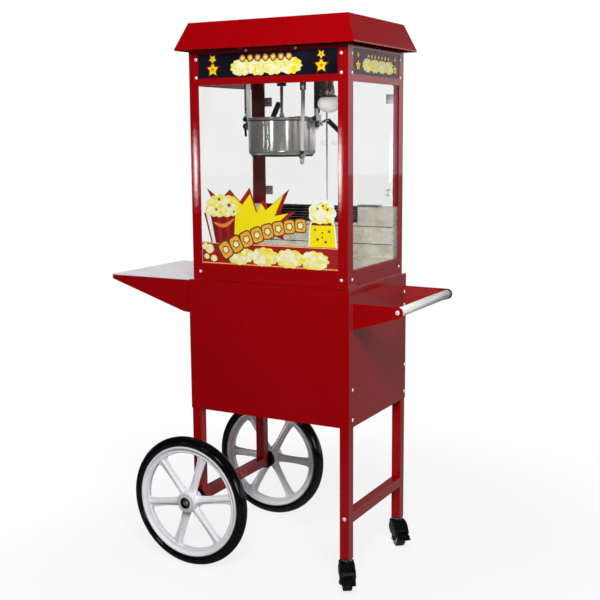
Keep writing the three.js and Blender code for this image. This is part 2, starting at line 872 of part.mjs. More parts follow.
// A tube of round section along a smooth curve.
function hose(points, radius, steps) {
  const path = new THREE.CatmullRomCurve3(points.map((p) => new THREE.Vector3(...p)));
  const section = new THREE.Shape();
  section.absarc(0, 0, radius, 0, 2 * Math.PI, false);
  return new THREE.ExtrudeGeometry(section, {
    steps,
    bevelEnabled: false,
    extrudePath: path,
    curveSegments: 5,
  });
}

// The flexible metal hose that carries the heater's wires, in two lengths that part at the tilt axis.
const hoseRadius = 6.5;
const ferruleRadius = 8.5;

function heaterHose() {
  const top = ceilingHeight - gap;
  const y = -54;
  const upperX = kettleX + 98;
  const lowerX = kettleX + 94;
  const upper = join(
    rod([upperX, y, 1388], [upperX, y, top], 10, 20),
    rod([upperX, y, 1364], [upperX, y, 1389], ferruleRadius, 20),
    hose(
      [
        [upperX, y, 1368],
        [upperX, y, 1345],
        [upperX - 1, y, 1305],
        [upperX - 2.5, y, tiltHeight + gap],
      ],
      hoseRadius,
      10,
    ),
  );
  // Under the kettle the hose turns back and up, to end just below the heater cover.
  const turn = 15;
  const low = 1165;
  const away = new THREE.Vector2(-0.5, 0.87).normalize();
  const elbow = [];
  for (let step = 0; step <= 6; step += 1) {
    const angle = Math.PI + (step * Math.PI) / 6;
    const along = turn * (1 + Math.cos(angle));
    elbow.push([lowerX + away.x * along, y + away.y * along, low + turn * (1 + Math.sin(angle))]);
  }
  const end = elbow[elbow.length - 1];
  const lower = join(
    hose(
      [
        [upperX - 2.5, y, tiltHeight],
        [lowerX, y, 1235],
        [lowerX, y, 1200],
        ...elbow,
        [end[0], end[1], kettleBottom - coverDrop - 2 * gap],
      ],
      hoseRadius,
      26,
    ),
    rod([lowerX, y, 1178], [lowerX, y, 1198], ferruleRadius, 20),
  );
  piece("hose_upper", upper, steel);
  piece("hose_lower", lower, steel);
}

// The warming lamp: a holder under the ceiling and a reflector bulb that leans out of it.
function warmingLamp() {
  const x = kettleX + 153;
  const y = -50;
  const holder = rod([x, y, 1345], [x, y, ceilingHeight - gap], 16, 28);
  const neck = rod([x + 2, y, 1356], [x + 18, y, 1333], 12, 24);
  piece("warming_lamp", join(holder, neck, ball([x + 24, y, 1326], 27)), white);
}

legs();
braces();
axle();
bigWheels();
casters();
cabinet();
cabinetDoor();
sideTray();
pushHandle();
machineBase();
posts();
topFrame();
roof();
signs();
panes();
caseDoors();
deck();
kernelDrawer();
controlPanel();
switches();
hangers();
kettle();
lidFlaps();
stirring();
heaterHose();
warmingLamp();

export default cart;
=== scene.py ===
import json
import math
import random

import bmesh
import bpy
from mathutils import Matrix, Vector


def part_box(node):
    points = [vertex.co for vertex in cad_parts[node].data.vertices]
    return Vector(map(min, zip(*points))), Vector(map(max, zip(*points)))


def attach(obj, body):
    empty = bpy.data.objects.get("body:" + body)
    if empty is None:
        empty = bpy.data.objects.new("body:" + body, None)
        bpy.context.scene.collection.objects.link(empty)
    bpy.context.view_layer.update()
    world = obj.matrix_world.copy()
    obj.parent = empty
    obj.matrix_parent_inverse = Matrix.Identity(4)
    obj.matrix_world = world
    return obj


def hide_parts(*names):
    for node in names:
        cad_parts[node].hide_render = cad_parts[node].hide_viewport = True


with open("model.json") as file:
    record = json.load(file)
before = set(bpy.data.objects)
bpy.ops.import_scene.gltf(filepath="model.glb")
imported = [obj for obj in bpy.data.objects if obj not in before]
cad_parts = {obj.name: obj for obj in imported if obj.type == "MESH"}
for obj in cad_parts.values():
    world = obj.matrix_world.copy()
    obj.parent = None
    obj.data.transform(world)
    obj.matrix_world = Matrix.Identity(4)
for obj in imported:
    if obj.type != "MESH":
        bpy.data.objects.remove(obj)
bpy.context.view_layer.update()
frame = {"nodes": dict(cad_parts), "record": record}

# The looks of a popcorn machine on its red serving cart. Lengths are in millimetres until a mesh is finished.
MM = 0.001
CART = "cart_frame"
X, Y, Z = Vector((1, 0, 0)), Vector((0, 1, 0)), Vector((0, 0, 1))


def box_of(node_name):
    """The lowest and highest corner of a CAD node, in millimetres."""
    low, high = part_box(node_name)
    return low / MM, high / MM


def middle_of(node_name):
    low, high = box_of(node_name)
    return (low + high) / 2


def new_object(name, data):
    """An object of the scene that holds a mesh, a lamp or a camera."""
    made = bpy.data.objects.new(name, data)
    bpy.context.scene.collection.objects.link(made)
    return made


# ---------------------------------------------------------------- shader nodes


def feed(tree, made, inputs):
    """Gives a shader node's inputs values, or links them to other nodes' sockets."""
    for name, value in inputs.items():
        if isinstance(value, bpy.types.NodeSocket):
            tree.links.new(value, made.inputs[name])
        else:
            made.inputs[name].default_value = value


def node(tree, kind, inputs=None, out=0, **settings):
    """Adds a shader node and returns one of its output sockets."""
    made = tree.nodes.new("ShaderNode" + kind)
    for name, value in settings.items():
        setattr(made, name, value)
    feed(tree, made, inputs or {})
    return made.outputs[out]


def maths(tree, operation, *values, **settings):
    """The result of an operation on numbers."""
    return node(tree, "Math", dict(enumerate(values)), operation=operation, **settings)


def spread(tree, value, low, high, start=0.0, end=1.0, **settings):
    """Maps value from the range low to high onto start to end."""
    inputs = {"Value": value, "From Min": low, "From Max": high, "To Min": start, "To Max": end}
    return node(tree, "MapRange", inputs, **settings)


# ---------------------------------------------------------------- camera, floor and light

CAMERA_PLACE = (1.4825, -2.6128, 1.2394)
CAMERA_YAW = math.radians(28.41)
CAMERA_PITCH = math.radians(-9.05)
CAMERA_ROLL = math.radians(-0.40)
CAMERA_LENS = 61.895


def make_camera():
    """The photograph's camera, to the right of the cart's front and as high as its glass case."""
    data = bpy.data.cameras.new("camera")
    data.lens = CAMERA_LENS
    data.sensor_width = 36.0
    camera = new_object("camera", data)
    flat = math.cos(CAMERA_PITCH)
    ahead = Vector((-math.sin(CAMERA_YAW) * flat, math.cos(CAMERA_YAW) * flat, math.sin(CAMERA_PITCH)))
    level = ahead.cross(Z).normalized()
    upright = level.cross(ahead)
    right = math.cos(CAMERA_ROLL) * level + math.sin(CAMERA_ROLL) * upright
    up = math.cos(CAMERA_ROLL) * upright - math.sin(CAMERA_ROLL) * level
    turn = Matrix((right, up, -ahead)).transposed().to_4x4()
    camera.matrix_world = Matrix.Translation(CAMERA_PLACE) @ turn
    bpy.context.scene.camera = camera


WHITE = (1, 1, 1, 1)
BRIGHT_SIDE = Vector((0.45, 0.86, 0.25)).normalized()
GRADIENT_START, GRADIENT_END = -0.5, 0.8
SKY_COLOUR = (0.99, 0.93, 1.0, 1)
SKY_DIM, SKY_BRIGHT = 0.03, 0.95
SKY_FALL_LOW, SKY_FALL_HIGH = 0.1, 0.36
SKY_ABOVE = 0.07


def studio_gradient(tree, direction, dim, bright):
    """A value that runs from dim in front of the cart to bright behind it."""
    towards = node(tree, "VectorMath", {0: direction, 1: BRIGHT_SIDE}, "Value", operation="DOT_PRODUCT")
    ranges = (GRADIENT_START, GRADIENT_END, dim, bright)
    return spread(tree, towards, *ranges, interpolation_type="SMOOTHSTEP")


def make_world():
    """A studio that the camera sees as white, and whose light is bright behind the cart and low down."""
    world = bpy.data.worlds.new("studio")
    bpy.context.scene.world = world
    world.use_nodes = True
    tree = world.node_tree
    tree.nodes.clear()
    direction = node(tree, "TexCoord", out="Generated")
    height = node(tree, "SeparateXYZ", {"Vector": direction}, "Z")
    ranges = (SKY_FALL_LOW, SKY_FALL_HIGH, 1.0, SKY_ABOVE)
    fall = spread(tree, height, *ranges, interpolation_type="SMOOTHSTEP")
    gradient = studio_gradient(tree, direction, SKY_DIM, SKY_BRIGHT)
    strength = maths(tree, "MULTIPLY", fall, gradient)
    seen = node(tree, "Background", {"Color": WHITE})
    lit = node(tree, "Background", {"Color": SKY_COLOUR, "Strength": strength})
    both = node(tree, "MixShader", {0: node(tree, "LightPath", out="Is Camera Ray"), 1: lit, 2: seen})
    feed(tree, tree.nodes.new("ShaderNodeOutputWorld"), {"Surface": both})


def area_light(name, place, target, size, power, mirrored=True):
    """A rectangular lamp that shines at target; one that isn't mirrored is left out of reflections."""
    data = bpy.data.lights.new(name, "AREA")
    data.shape = "RECTANGLE"
    data.size, data.size_y = size
    data.energy = power
    lamp = new_object(name, data)
    lamp.location = place
    lamp.rotation_euler = (Vector(target) - Vector(place)).to_track_quat("-Z", "Y").to_euler()
    lamp.visible_glossy = mirrored


STREAK_WIDTH = 0.015
STREAK_CARDS = 12
STREAK_STEP = 0.046
STREAK_MIDDLE = 1.05
STREAK_GLOW = 105
STREAK_ASIDE = 1.17


def make_lights():
    """Key, top and fill lamps, and the strips and cards that the paint mirrors."""
    area_light("key", (1.6, -2.5, 2.66), (0.05, 0, 1.1), (1.4, 1.0), 126, False)
    area_light("top", (0.0, 0.5, 3.6), (0.05, 0, 1.0), (2.2, 2.2), 34, False)
    area_light("low_fill", (1.2, -2.2, 0.5), (0, 0, 0.3), (0.7, 0.5), 4)
    area_light("wheel_fill", (-1.7, -0.12, 0.3), (-0.2, 0.25, 0.2), (0.4, 0.5), 15, False)
    area_light("strip_left", (-0.35, -3.6, 1.24), (0.05, 0, 1.24), (0.34, 0.56), 4.2)
    area_light("strip_right", (2.45, -2.35, 1.24), (0.05, 0, 1.24), (0.2, 0.56), 2.3)
    # Stacks of small cards that only the front posts mirror, brightest in the middle of each stack.
    for name, x in (("left", -2.07), ("right", -1.096)):
        for k in range(STREAK_CARDS):
            share = math.sin(math.pi * (k + 0.5) / STREAK_CARDS) ** 2
            z = STREAK_MIDDLE + (k - (STREAK_CARDS - 1) / 2) * STREAK_STEP
            power = STREAK_GLOW * share * STREAK_WIDTH * STREAK_STEP
            size = (STREAK_WIDTH, STREAK_STEP)
            area_light(f"card_{name}_{k}", (x, -3.0, z), (x + STREAK_ASIDE, -0.18, z), size, power)


FLOOR_RADIUS = 30
FLOOR_DIM, FLOOR_BRIGHT = 0.02, 0.20
FADE_NEAR, FADE_FAR = 0.45, 1.7
NEAR_WHITE = 0.82
BOUNCE_CUT = 0.85


def make_floor():
    """A pale floor whose far edge fades into the white of the studio."""
    bm = bmesh.new()
    bmesh.ops.create_circle(bm, cap_ends=True, segments=64, radius=FLOOR_RADIUS)
    mesh = bpy.data.meshes.new("floor")
    bm.to_mesh(mesh)
    bm.free()
    look = Look("floor_paper", (0.86, 0.86, 0.86), 0.9)
    tree = look.tree
    camera_ray = node(tree, "LightPath", out="Is Camera Ray")
    distance = node(tree, "VectorMath", {0: look.place}, "Value", operation="LENGTH")
    fade = spread(tree, distance, FADE_NEAR, FADE_FAR, NEAR_WHITE, interpolation_type="SMOOTHERSTEP")
    unseen = maths(tree, "MULTIPLY_ADD", camera_ray, -BOUNCE_CUT, BOUNCE_CUT)
    direction = node(tree, "VectorMath", {0: look.place}, operation="NORMALIZE")
    glow = studio_gradient(tree, direction, FLOOR_DIM, FLOOR_BRIGHT)
    strength = node(tree, "Mix", {"Factor": camera_ray, "A": glow, "B": 1.0}, "Result")
    emission = node(tree, "Emission", {"Strength": strength})
    look.surface(maths(tree, "MAXIMUM", fade, unseen), look.shader.outputs["BSDF"], emission)
    mesh.materials.append(LOOKS["floor_paper"])
    new_object("floor", mesh)


# ---------------------------------------------------------------- materials

LOOKS = {}


class Look:
    """A named Principled material, whose colour, roughness and bump are driven by procedural nodes."""

    def __init__(self, name, colour, roughness, **sockets):
        material = bpy.data.materials.new(name)
        material.use_nodes = True
        LOOKS[name] = material
        self.tree = material.node_tree
        self.shader = self.tree.nodes["Principled BSDF"]
        inputs = {socket.replace("_", " "): value for socket, value in sockets.items()}
        feed(self.tree, self.shader, {"Base Color": (*colour, 1), "Roughness": roughness, **inputs})
        self.place = node(self.tree, "TexCoord", out="Object")

    def mask(self, source):
        """A mask's socket; numbers stand for the noise that makes it."""
        return self.noise(*source) if isinstance(source, tuple) else source

    def noise(self, scale, detail=4, low=0.35, high=0.65, stretch=None):
        """Noise with its range from low to high spread over 0 to 1; stretch has a factor for each axis."""
        place = self.place
        if stretch:
            place = node(self.tree, "Mapping", {"Vector": place, "Scale": stretch})
        inputs = {"Vector": place, "Scale": scale, "Detail": detail}
        return spread(self.tree, node(self.tree, "TexNoise", inputs, "Fac"), low, high)

    def edges(self, radius, flat=0.98, sharp=0.7):
        """1 at sharp outer edges and 0 elsewhere, found from a bevelled normal."""
        bevel = node(self.tree, "Bevel", {"Radius": radius}, samples=4)
        normal = node(self.tree, "NewGeometry", out="Normal")
        agree = node(self.tree, "VectorMath", {0: bevel, 1: normal}, "Value", operation="DOT_PRODUCT")
        return spread(self.tree, agree, flat, sharp)

    def backs(self):
        """1 on faces that look towards +Y, the pale backing of the front pane's film, and 0 elsewhere."""
        normal = node(self.tree, "NewGeometry", out="True Normal")
        return maths(self.tree, "GREATER_THAN", node(self.tree, "SeparateXYZ", {0: normal}, "Y"), 0.9)

    def now(self, name):
        """What a shader input has now: the socket that feeds it, or its value."""
        target = self.shader.inputs[name]
        return target.links[0].from_socket if target.is_linked else target.default_value

    def tint(self, mask, colour, amount=1.0):
        """Mixes colour into the base colour where mask is 1."""
        share = maths(self.tree, "MULTIPLY", self.mask(mask), amount)
        inputs = {"Factor": share, "A": self.now("Base Color"), "B": (*colour, 1)}
        mixed = node(self.tree, "Mix", inputs, "Result", data_type="RGBA")
        feed(self.tree, self.shader, {"Base Color": mixed})

    def rough(self, mask, change):
        """Adds change to the roughness where mask is 1."""
        values = (self.mask(mask), change, self.now("Roughness"))
        total = maths(self.tree, "MULTIPLY_ADD", *values, use_clamp=True)
        feed(self.tree, self.shader, {"Roughness": total})

    def bump(self, height, distance, strength):
        """Raises the surface by height, a 0 to 1 map, times distance in metres."""
        inputs = {"Strength": strength, "Distance": distance, "Height": self.mask(height)}
        raised = node(self.tree, "Bump", {**inputs, "Normal": self.now("Normal")})
        feed(self.tree, self.shader, {"Normal": raised})

    def surface(self, share, first, second):
        """Makes the surface a blend of two shaders."""
        blend = node(self.tree, "MixShader", {0: share, 1: first, 2: second})
        feed(self.tree, self.tree.nodes["Material Output"], {"Surface": blend})


def shade(colour, factor, lift=0.0, most=1.0):
    """A colour made lighter or darker, each channel at most most."""
    return tuple(min(most, c * factor + lift) for c in colour)


def brushed_look(name, colour, roughness, grain=(1, 60, 60)):
    """Stainless sheet with a fine brushed grain, hazy patches and small scratches."""
    look = Look(name, colour, roughness, Metallic=1.0)
    look.tint((9, 4), shade(colour, 0.9), 0.5)
    streaks = look.noise(14, 5, 0.3, 0.7, grain)
    look.tint(streaks, shade(colour, 0.9), 0.3)
    look.rough(streaks, 0.08)
    look.rough((22, 5, 0.5, 0.7), 0.1)
    look.bump(streaks, 0.00002, 0.5)
    look.bump((2600, 1, 0.6, 0.7, (1, 0.02, 0.3)), 0.00001, 0.3)


def rubber_look(name, colour, roughness):
    """Glossy moulded rubber with scuffs, dust and a fine moulding grain."""
    look = Look(name, colour, roughness)
    look.tint((30, 6, 0.52, 0.75), (0.007, 0.0068, 0.0065), 0.5)
    look.rough((48, 6, 0.5, 0.72), 0.06)
    look.bump((900, 3), 0.00003, 0.25)


def plastic_look(name, colour, roughness, specular=0.5):
    """Moulded plastic with a fine spark-eroded texture and rubbed, paler edges."""
    look = Look(name, colour, roughness, Specular_IOR_Level=specular)
    look.tint((24, 5), shade(colour, 1.4, 0.001, 2), 0.45)
    look.tint(look.edges(0.0006), shade(colour, 1.8, 0.008, 2), 0.5)
    look.rough((75, 5), 0.10)
    look.bump((1500, 2), 0.00003, 0.4)


def clear_look(name):
    """Clear pane: rays go straight through, with a faint tint, a gloss by angle and a few dusty smears."""
    look = Look(name, (0.9, 0.93, 0.92), 0.03)
    tree = look.tree
    through = node(tree, "BsdfTransparent", {"Color": (0.968, 0.971, 0.968, 1)})
    gloss = node(tree, "BsdfGlossy", {"Color": WHITE, "Roughness": 0.02})
    facing = node(tree, "LayerWeight", {"Blend": 0.5}, "Facing")
    angle = maths(tree, "MULTIPLY_ADD", maths(tree, "POWER", facing, 5.0), 0.6, 0.012)
    pane = node(tree, "MixShader", {0: angle, 1: through, 2: gloss})
    dust = maths(tree, "MULTIPLY", look.noise(6, 6, 0.45, 0.8), 0.022)
    look.surface(dust, pane, look.shader.outputs["BSDF"])


def print_look(name, colour, spots=0.5):
    """Printed vinyl film: slightly uneven ink with a fine dot grain and a satin surface."""
    look = Look("print_" + name, colour, 0.38)
    look.tint((60, 4), shade(colour, 0.8), spots)
    look.tint((1800, 2, 0.5, 0.7), shade(colour, 1.15, 0.01), 0.5)
    look.tint(look.backs(), (0.80, 0.79, 0.76))
    look.rough((35, 5), 0.12)
    look.bump((900, 2), 0.00002, 0.3)


def make_looks():
    """Makes every look but the floor's; LOOKS then holds them by name."""
    # Glossy stove enamel with orange peel, faint cloudiness, dust and thin edges.
    red = (0.30, 0.0005, 0.0022)
    coat = {"Coat_Weight": 1.0, "Coat_Roughness": 0.03, "Coat_IOR": 1.45}
    look = Look("red_paint", red, 0.32, Specular_IOR_Level=0.1, **coat)
    look.tint((5, 3), shade(red, 1.2, 0.001), 0.35)
    look.tint((38, 5, 0.5, 0.75), shade(red, 0.82), 0.35)
    look.tint(look.edges(0.0007), shade(red, 1.4, 0.02), 0.3)
    look.rough((14, 6, 0.45, 0.7), 0.12)
    look.rough((900, 2, 0.62, 0.7, (1, 1, 0.03)), 0.1)
    look.bump((520, 2, 0.2, 0.8), 0.00006, 0.35)
    look.bump((3.1, 1, 0.1, 0.9), 0.0012, 0.25)
    # Bright zinc plate with soft spangle and dull patches.
    look = Look("zinc_steel", (0.72, 0.73, 0.74), 0.3, Metallic=1.0)
    look.tint((160, 3), (0.5, 0.51, 0.53), 0.45)
    look.rough((90, 5), 0.18)
    look.bump((700, 3), 0.00003, 0.5)
    # Silver lacquer on a cast wheel: fine flake, faint casting texture, patches of grey dust.
    look = Look("silver_wheel", (0.86, 0.86, 0.90), 0.34, Metallic=0.05, Coat_Weight=0.3, Coat_Roughness=0.2)
    look.tint((2200, 2), (0.93, 0.93, 0.96), 0.4)
    look.tint((26, 5, 0.5, 0.72), (0.66, 0.66, 0.71), 0.35)
    look.rough((60, 5), 0.16)
    look.bump((420, 4), 0.00014, 0.45)
    rubber_look("tyre_rubber", (0.002, 0.002, 0.0025), 0.1)
    plastic_look("black_plastic", (0.0025, 0.0025, 0.0035), 0.2, 0.42)
    rubber_look("caster_tread", (0.012, 0.012, 0.013), 0.4)
    brushed_look("satin_steel", (0.70, 0.70, 0.69), 0.24)
    # Deep-drawn polished steel: nearly a mirror, with fine rings, smears and water marks.
    look = Look("polished_steel", (0.78, 0.775, 0.76), 0.13, Metallic=0.84)
    look.tint((12, 4), (0.70, 0.69, 0.66), 0.35)
    rings = look.noise(10, 4, 0.3, 0.7, (1, 1, 90))
    look.rough(rings, 0.06)
    look.rough((45, 6, 0.52, 0.72), 0.05)
    look.bump(rings, 0.00001, 0.35)
    look.bump((7, 2, 0.1, 0.9), 0.0003, 0.2)
    # Satin grey-green lacquer on the push handle, rubbed brighter where hands hold it.
    look = Look("handle_metal", (0.80, 0.83, 0.79), 0.3, Metallic=0.06, Coat_Weight=0.4, Coat_Roughness=0.12)
    look.tint((11, 4, 0.35, 0.65, (1, 0.4, 1)), (0.84, 0.86, 0.83), 0.55)
    look.tint((70, 6, 0.55, 0.75), (0.62, 0.65, 0.61), 0.35)
    look.rough((40, 5), 0.15)
    look.bump((600, 3), 0.00004, 0.4)
    # Black acrylic with a blue cast, fine wiping marks and dust.
    coat = {"Coat_Weight": 0.12, "Coat_Roughness": 0.05}
    look = Look("sign_black", (0.004, 0.0045, 0.010), 0.16, Specular_IOR_Level=0.3, **coat)
    look.tint((8, 5), (0.011, 0.012, 0.022), 0.7)
    look.rough((20, 6, 0.48, 0.75), 0.16)
    look.bump((5, 2, 0.1, 0.9), 0.0004, 0.2)
    clear_look("clear_pane")
    # Frosted white glass with a soft mottled coating, and a faint glow: painted light that brightens the
    # bulb, which is not lit.
    coat = {"Coat_Weight": 0.6, "Coat_Roughness": 0.05}
    glow = {"Emission_Color": (1, 1, 0.98, 1), "Emission_Strength": 0.35}
    look = Look("lamp_white", (0.92, 0.92, 0.90), 0.22, **coat, **glow)
    look.tint((40, 4), (0.74, 0.73, 0.70), 0.5)
    look.rough((90, 4), 0.1)
    look.bump((300, 3), 0.00003, 0.3)
    plastic_look("hub_grey", (0.54, 0.54, 0.56), 0.4)
    plastic_look("switch_red", (0.45, 0.01, 0.008), 0.3)
    # Nickel-plated screw heads with faint tool marks, coloured a bright, faintly pink near-white without
    # metal: painted highlight standing in for the plating's shine.
    look = Look("screw_head", (0.95, 0.92, 0.91), 0.3, Metallic=0.0, Coat_Weight=0.5, Coat_Roughness=0.1)
    look.tint((300, 3), (0.80, 0.77, 0.77), 0.4)
    look.rough((500, 3), 0.15)
    look.bump((900, 2), 0.00003, 0.4)
    # Woven steel hose, bright wires over darker gaps.
    look = Look("braid", (0.86, 0.85, 0.83), 0.3, Metallic=0.3)
    look.tint((650, 2, 0.35, 0.65, (1, 1, 2.2)), (0.56, 0.55, 0.53), 0.45)
    look.rough((300, 3), 0.15)
    look.bump((700, 2, 0.35, 0.65, (1, 1, 2.2)), 0.00012, 0.6)
    plastic_look("hinge_steel", (0.80, 0.80, 0.80), 0.35)
    # The polished lining of the control box: pale steel whose cream colour, tan blotches and pale streaks are
    # painted reflection of the film.
    look = Look("case_steel", (0.95, 0.915, 0.79), 0.22, Metallic=0.25)
    look.tint((34, 5, 0.42, 0.62), (0.62, 0.575, 0.41), 0.6)
    look.tint((11, 3, 0.45, 0.6, (1, 1, 2.6)), (0.95, 0.93, 0.86), 0.7)
    look.rough((60, 4), 0.14)
    look.bump((9, 3, 0.1, 0.9), 0.0008, 0.35)
    # Bright tray sheet, wiped smooth, with a faint grain and cloudy wiping marks; its near-white, faintly
    # pink colour is painted reflection of the white studio.
    look = Look("tray_steel", (0.98, 0.95, 0.965), 0.2, Metallic=0.3)
    look.tint((7, 4), (0.90, 0.87, 0.89), 0.5)
    look.tint((14, 5, 0.3, 0.7, (1, 60, 60)), (0.88, 0.86, 0.87), 0.2)
    look.rough((22, 5, 0.5, 0.7), 0.06)
    look.bump((700, 2, 0.35, 0.65, (0.05, 1, 1)), 0.000002, 0.3)
    print_look("red", (0.34, 0.010, 0.012))
    print_look("dark_red", (0.20, 0.006, 0.010))
    print_look("orange", (0.78, 0.22, 0.03))
    print_look("gold", (0.82, 0.40, 0.05))
    print_look("yellow", (0.86, 0.72, 0.004), 0.25)
    print_look("corn", (0.86, 0.78, 0.16))
    print_look("pale", (0.88, 0.84, 0.42))
    print_look("cream", (0.90, 0.87, 0.66))
    print_look("white", (0.88, 0.87, 0.84))
    print_look("brown", (0.13, 0.045, 0.008))


make_looks()

# ---------------------------------------------------------------- outlines and paths


def arc(u, v, across, up, start, end, steps):
    """Points about (u, v), on an ellipse with these half widths, from angle start to angle end."""
    angles = [start + (end - start) * k / steps for k in range(steps + 1)]
    return [(u + across * math.cos(a), v + up * math.sin(a)) for a in angles]


def polar(centre, across, up, radius, angle):
    return centre + across * (radius * math.cos(angle)) + up * (radius * math.sin(angle))


def mirrored(half):
    """A closed section from its half above the middle plane."""
    return half + [(r, -h) for r, h in reversed(half)]


def rectangle(left, right, low, high):
    """A rectangle's corners, anticlockwise from the lower left one."""
    return [(left, low), (right, low), (right, high), (left, high)]


def smooth_path(points, steps):
    """Points along a Catmull-Rom curve through points."""
    knots = [Vector(p) for p in points]
    knots = [knots[0] * 2 - knots[1], *knots, knots[-1] * 2 - knots[-2]]
    path = []
    spans = len(points) - 1
    for k in range(steps + 1):
        share = min(k / steps * spans, spans - 1e-6)
        i = int(share)
        t = share - i
        a, b, c, d = knots[i : i + 4]
        square, cube = a * 2 - b * 5 + c * 4 - d, b * 3 - a - c * 3 + d
        path.append((b * 2 + (c - a) * t + square * t**2 + cube * t**3) / 2)
    return path


# ---------------------------------------------------------------- building meshes


SHARP_ANGLE = 35
SCREW_DOME = [(1, -0.4), (1, 0.5), (0.86, 1.3), (0.5, 1.9), (0.08, 2.1)]


def round_edges(obj, width):
    """Rounds an object's sharp edges by width millimetres."""
    rounding = obj.modifiers.new("rounding", "BEVEL")
    rounding.width = width * MM
    rounding.segments = 2
    rounding.limit_method = "ANGLE"
    rounding.angle_limit = math.radians(SHARP_ANGLE)
    return rounding


class Shape:
    """A mesh under construction, in millimetres in the rest frame, painted with named looks as it grows."""

    def __init__(self, look):
        self.bm = bmesh.new()
        self.looks = []
        self.use(look)

    def use(self, look):
        """The faces that are made next get this look."""
        if look not in self.looks:
            self.looks.append(look)
        self.index = self.looks.index(look)
        return self

    def faces(self, points, faces):
        """Adds faces, each a list of places in points."""
        verts = [self.bm.verts.new(p) for p in points]
        for corners in faces:
            face = self.bm.faces.new([verts[i] for i in corners])
            face.material_index = self.index
        return self

    def box(self, corner, opposite):
        xs, ys, zs = (sorted(ends) for ends in zip(corner, opposite))
        points = [(x, y, z) for x in xs for y in ys for z in zs]
        sides = [(0, 1, 3, 2), (4, 6, 7, 5), (0, 4, 5, 1), (2, 3, 7, 6), (0, 2, 6, 4), (1, 5, 7, 3)]
        return self.faces(points, sides)

    def rings(self, rings, closed=False):
        """Joins rings of equally many points into a skin with capped ends, or into a loop if closed."""
        count = len(rings[0])
        points = [p for ring in rings for p in ring]
        faces = []
        last = len(rings) if closed else len(rings) - 1
        for i in range(last):
            here, there = i * count, ((i + 1) % len(rings)) * count
            for j in range(count):
                k = (j + 1) % count
                faces.append((here + j, here + k, there + k, there + j))
        if not closed:
            faces.append(tuple(range(count))[::-1])
            faces.append(tuple(range((len(rings) - 1) * count, len(rings) * count)))
        return self.faces(points, faces)

    def prism(self, outline, start, along, across=X, up=Z):
        """A plate of the 2-D outline in the plane of across and up, from start over the vector along."""
        first = [Vector(start) + across * u + up * v for u, v in outline]
        return self.rings([first, [p + Vector(along) for p in first]])

    def turned(self, profile, centre, axis, steps):
        """The profile of (radius, distance along the axis), turned about centre to each of steps angles."""
        turn = Z.rotation_difference(Vector(axis)).to_matrix()
        slices = []
        for k in range(steps):
            angle = 2 * math.pi * k / steps
            out = Vector((math.cos(angle), math.sin(angle), 0))
            slices.append([Vector(centre) + turn @ (out * r + Z * h) for r, h in profile])
        return slices

    def lathe(self, profile, centre, axis, steps=64):
        """Turns an open profile into a solid with a flat face at each end."""
        return self.rings(list(zip(*self.turned(profile, centre, axis, steps))))

    def hoop(self, profile, centre, axis, steps=96):
        """Turns a closed profile, such as a tyre's section, into a ring."""
        return self.rings(self.turned(profile, centre, axis, steps), closed=True)

    def rod(self, start, end, radius, steps=32, chamfer=0.0):
        start, end = Vector(start), Vector(end)
        length = (end - start).length
        profile = [(radius, 0), (radius, length)]
        if chamfer:
            profile = [(radius - chamfer, 0), (radius, chamfer), (radius, length - chamfer)]
            profile.append((radius - chamfer, length))
        return self.lathe(profile, start, end - start, steps)

    def tube(self, path, radius, steps=20):
        """A round skin along a path of points; radius is a number or a function of the distance along it."""
        path = [Vector(p) for p in path]
        size = radius if callable(radius) else lambda distance: radius
        side = None
        rings = []
        distance = 0.0
        for i, point in enumerate(path):
            ahead = (path[min(i + 1, len(path) - 1)] - path[max(i - 1, 0)]).normalized()
            if side is None:
                side = ahead.cross(Z if abs(ahead.z) < 0.9 else Y).normalized()
            side = (side - ahead * side.dot(ahead)).normalized()
            other = ahead.cross(side)
            if i:
                distance += (point - path[i - 1]).length
            r = size(distance)
            rings.append([polar(point, side, other, r, 2 * math.pi * k / steps) for k in range(steps)])
        return self.rings(rings)

    def screw(self, place, out, radius=4.0):
        """A pan-head screw with a cross recess, standing on place and looking along out."""
        place, out = Vector(place), Vector(out)
        self.lathe([(radius * share, height) for share, height in SCREW_DOME], place, out, 20)
        index = self.index
        self.use("black_plastic")
        side = out.cross(Z if abs(out.z) < 0.9 else X).normalized()
        for arm, width in ((side, out.cross(side)), (out.cross(side), side)):
            reach, half = arm * (radius * 0.5), width * (radius * 0.09)
            foot, head = place + out * 1.5, place + out * 2.16
            ring = [foot - reach - half, foot + reach - half, foot + reach + half, foot - reach + half]
            self.rings([ring, [p + (head - foot) for p in ring]])
        self.index = index
        return self

    def screws(self, places, out, radius):
        for place in places:
            self.screw(place, out, radius)

    def piece(self, name, body, slot, stands_for=(), bevel=0.0, smooth=40):
        """Finishes the mesh as an object that rides on a body, shaded smooth up to an angle in degrees."""
        bmesh.ops.recalc_face_normals(self.bm, faces=self.bm.faces)
        bmesh.ops.scale(self.bm, vec=(MM, MM, MM), verts=self.bm.verts)
        mesh = bpy.data.meshes.new(name)
        self.bm.to_mesh(mesh)
        self.bm.free()
        for look in self.looks:
            mesh.materials.append(LOOKS[look])
        obj = new_object(name, mesh)
        if bevel:
            round_edges(obj, bevel).harden_normals = True
        for face in mesh.polygons:
            face.use_smooth = True
        mesh.set_sharp_from_angle(angle=math.radians(smooth))
        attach(obj, body)
        if stands_for:
            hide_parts(*stands_for)


# ---------------------------------------------------------------- CAD nodes that stay

# Widths of rounding in millimetres, and the nodes that get another look than their slot names.
ROUNDING = {"roof": 1.2, "panel_front": 0.5, "panel_left": 0.5, "panel_right": 0.5, "cabinet_top": 0.5}
USUAL_ROUNDING = 0.6
PANE_ROUNDING = 0.3
WELD_REACH = 0.00002
SPECIAL = {"control_panel": "case_steel", "deck": "case_steel", "side_tray": "tray_steel"}


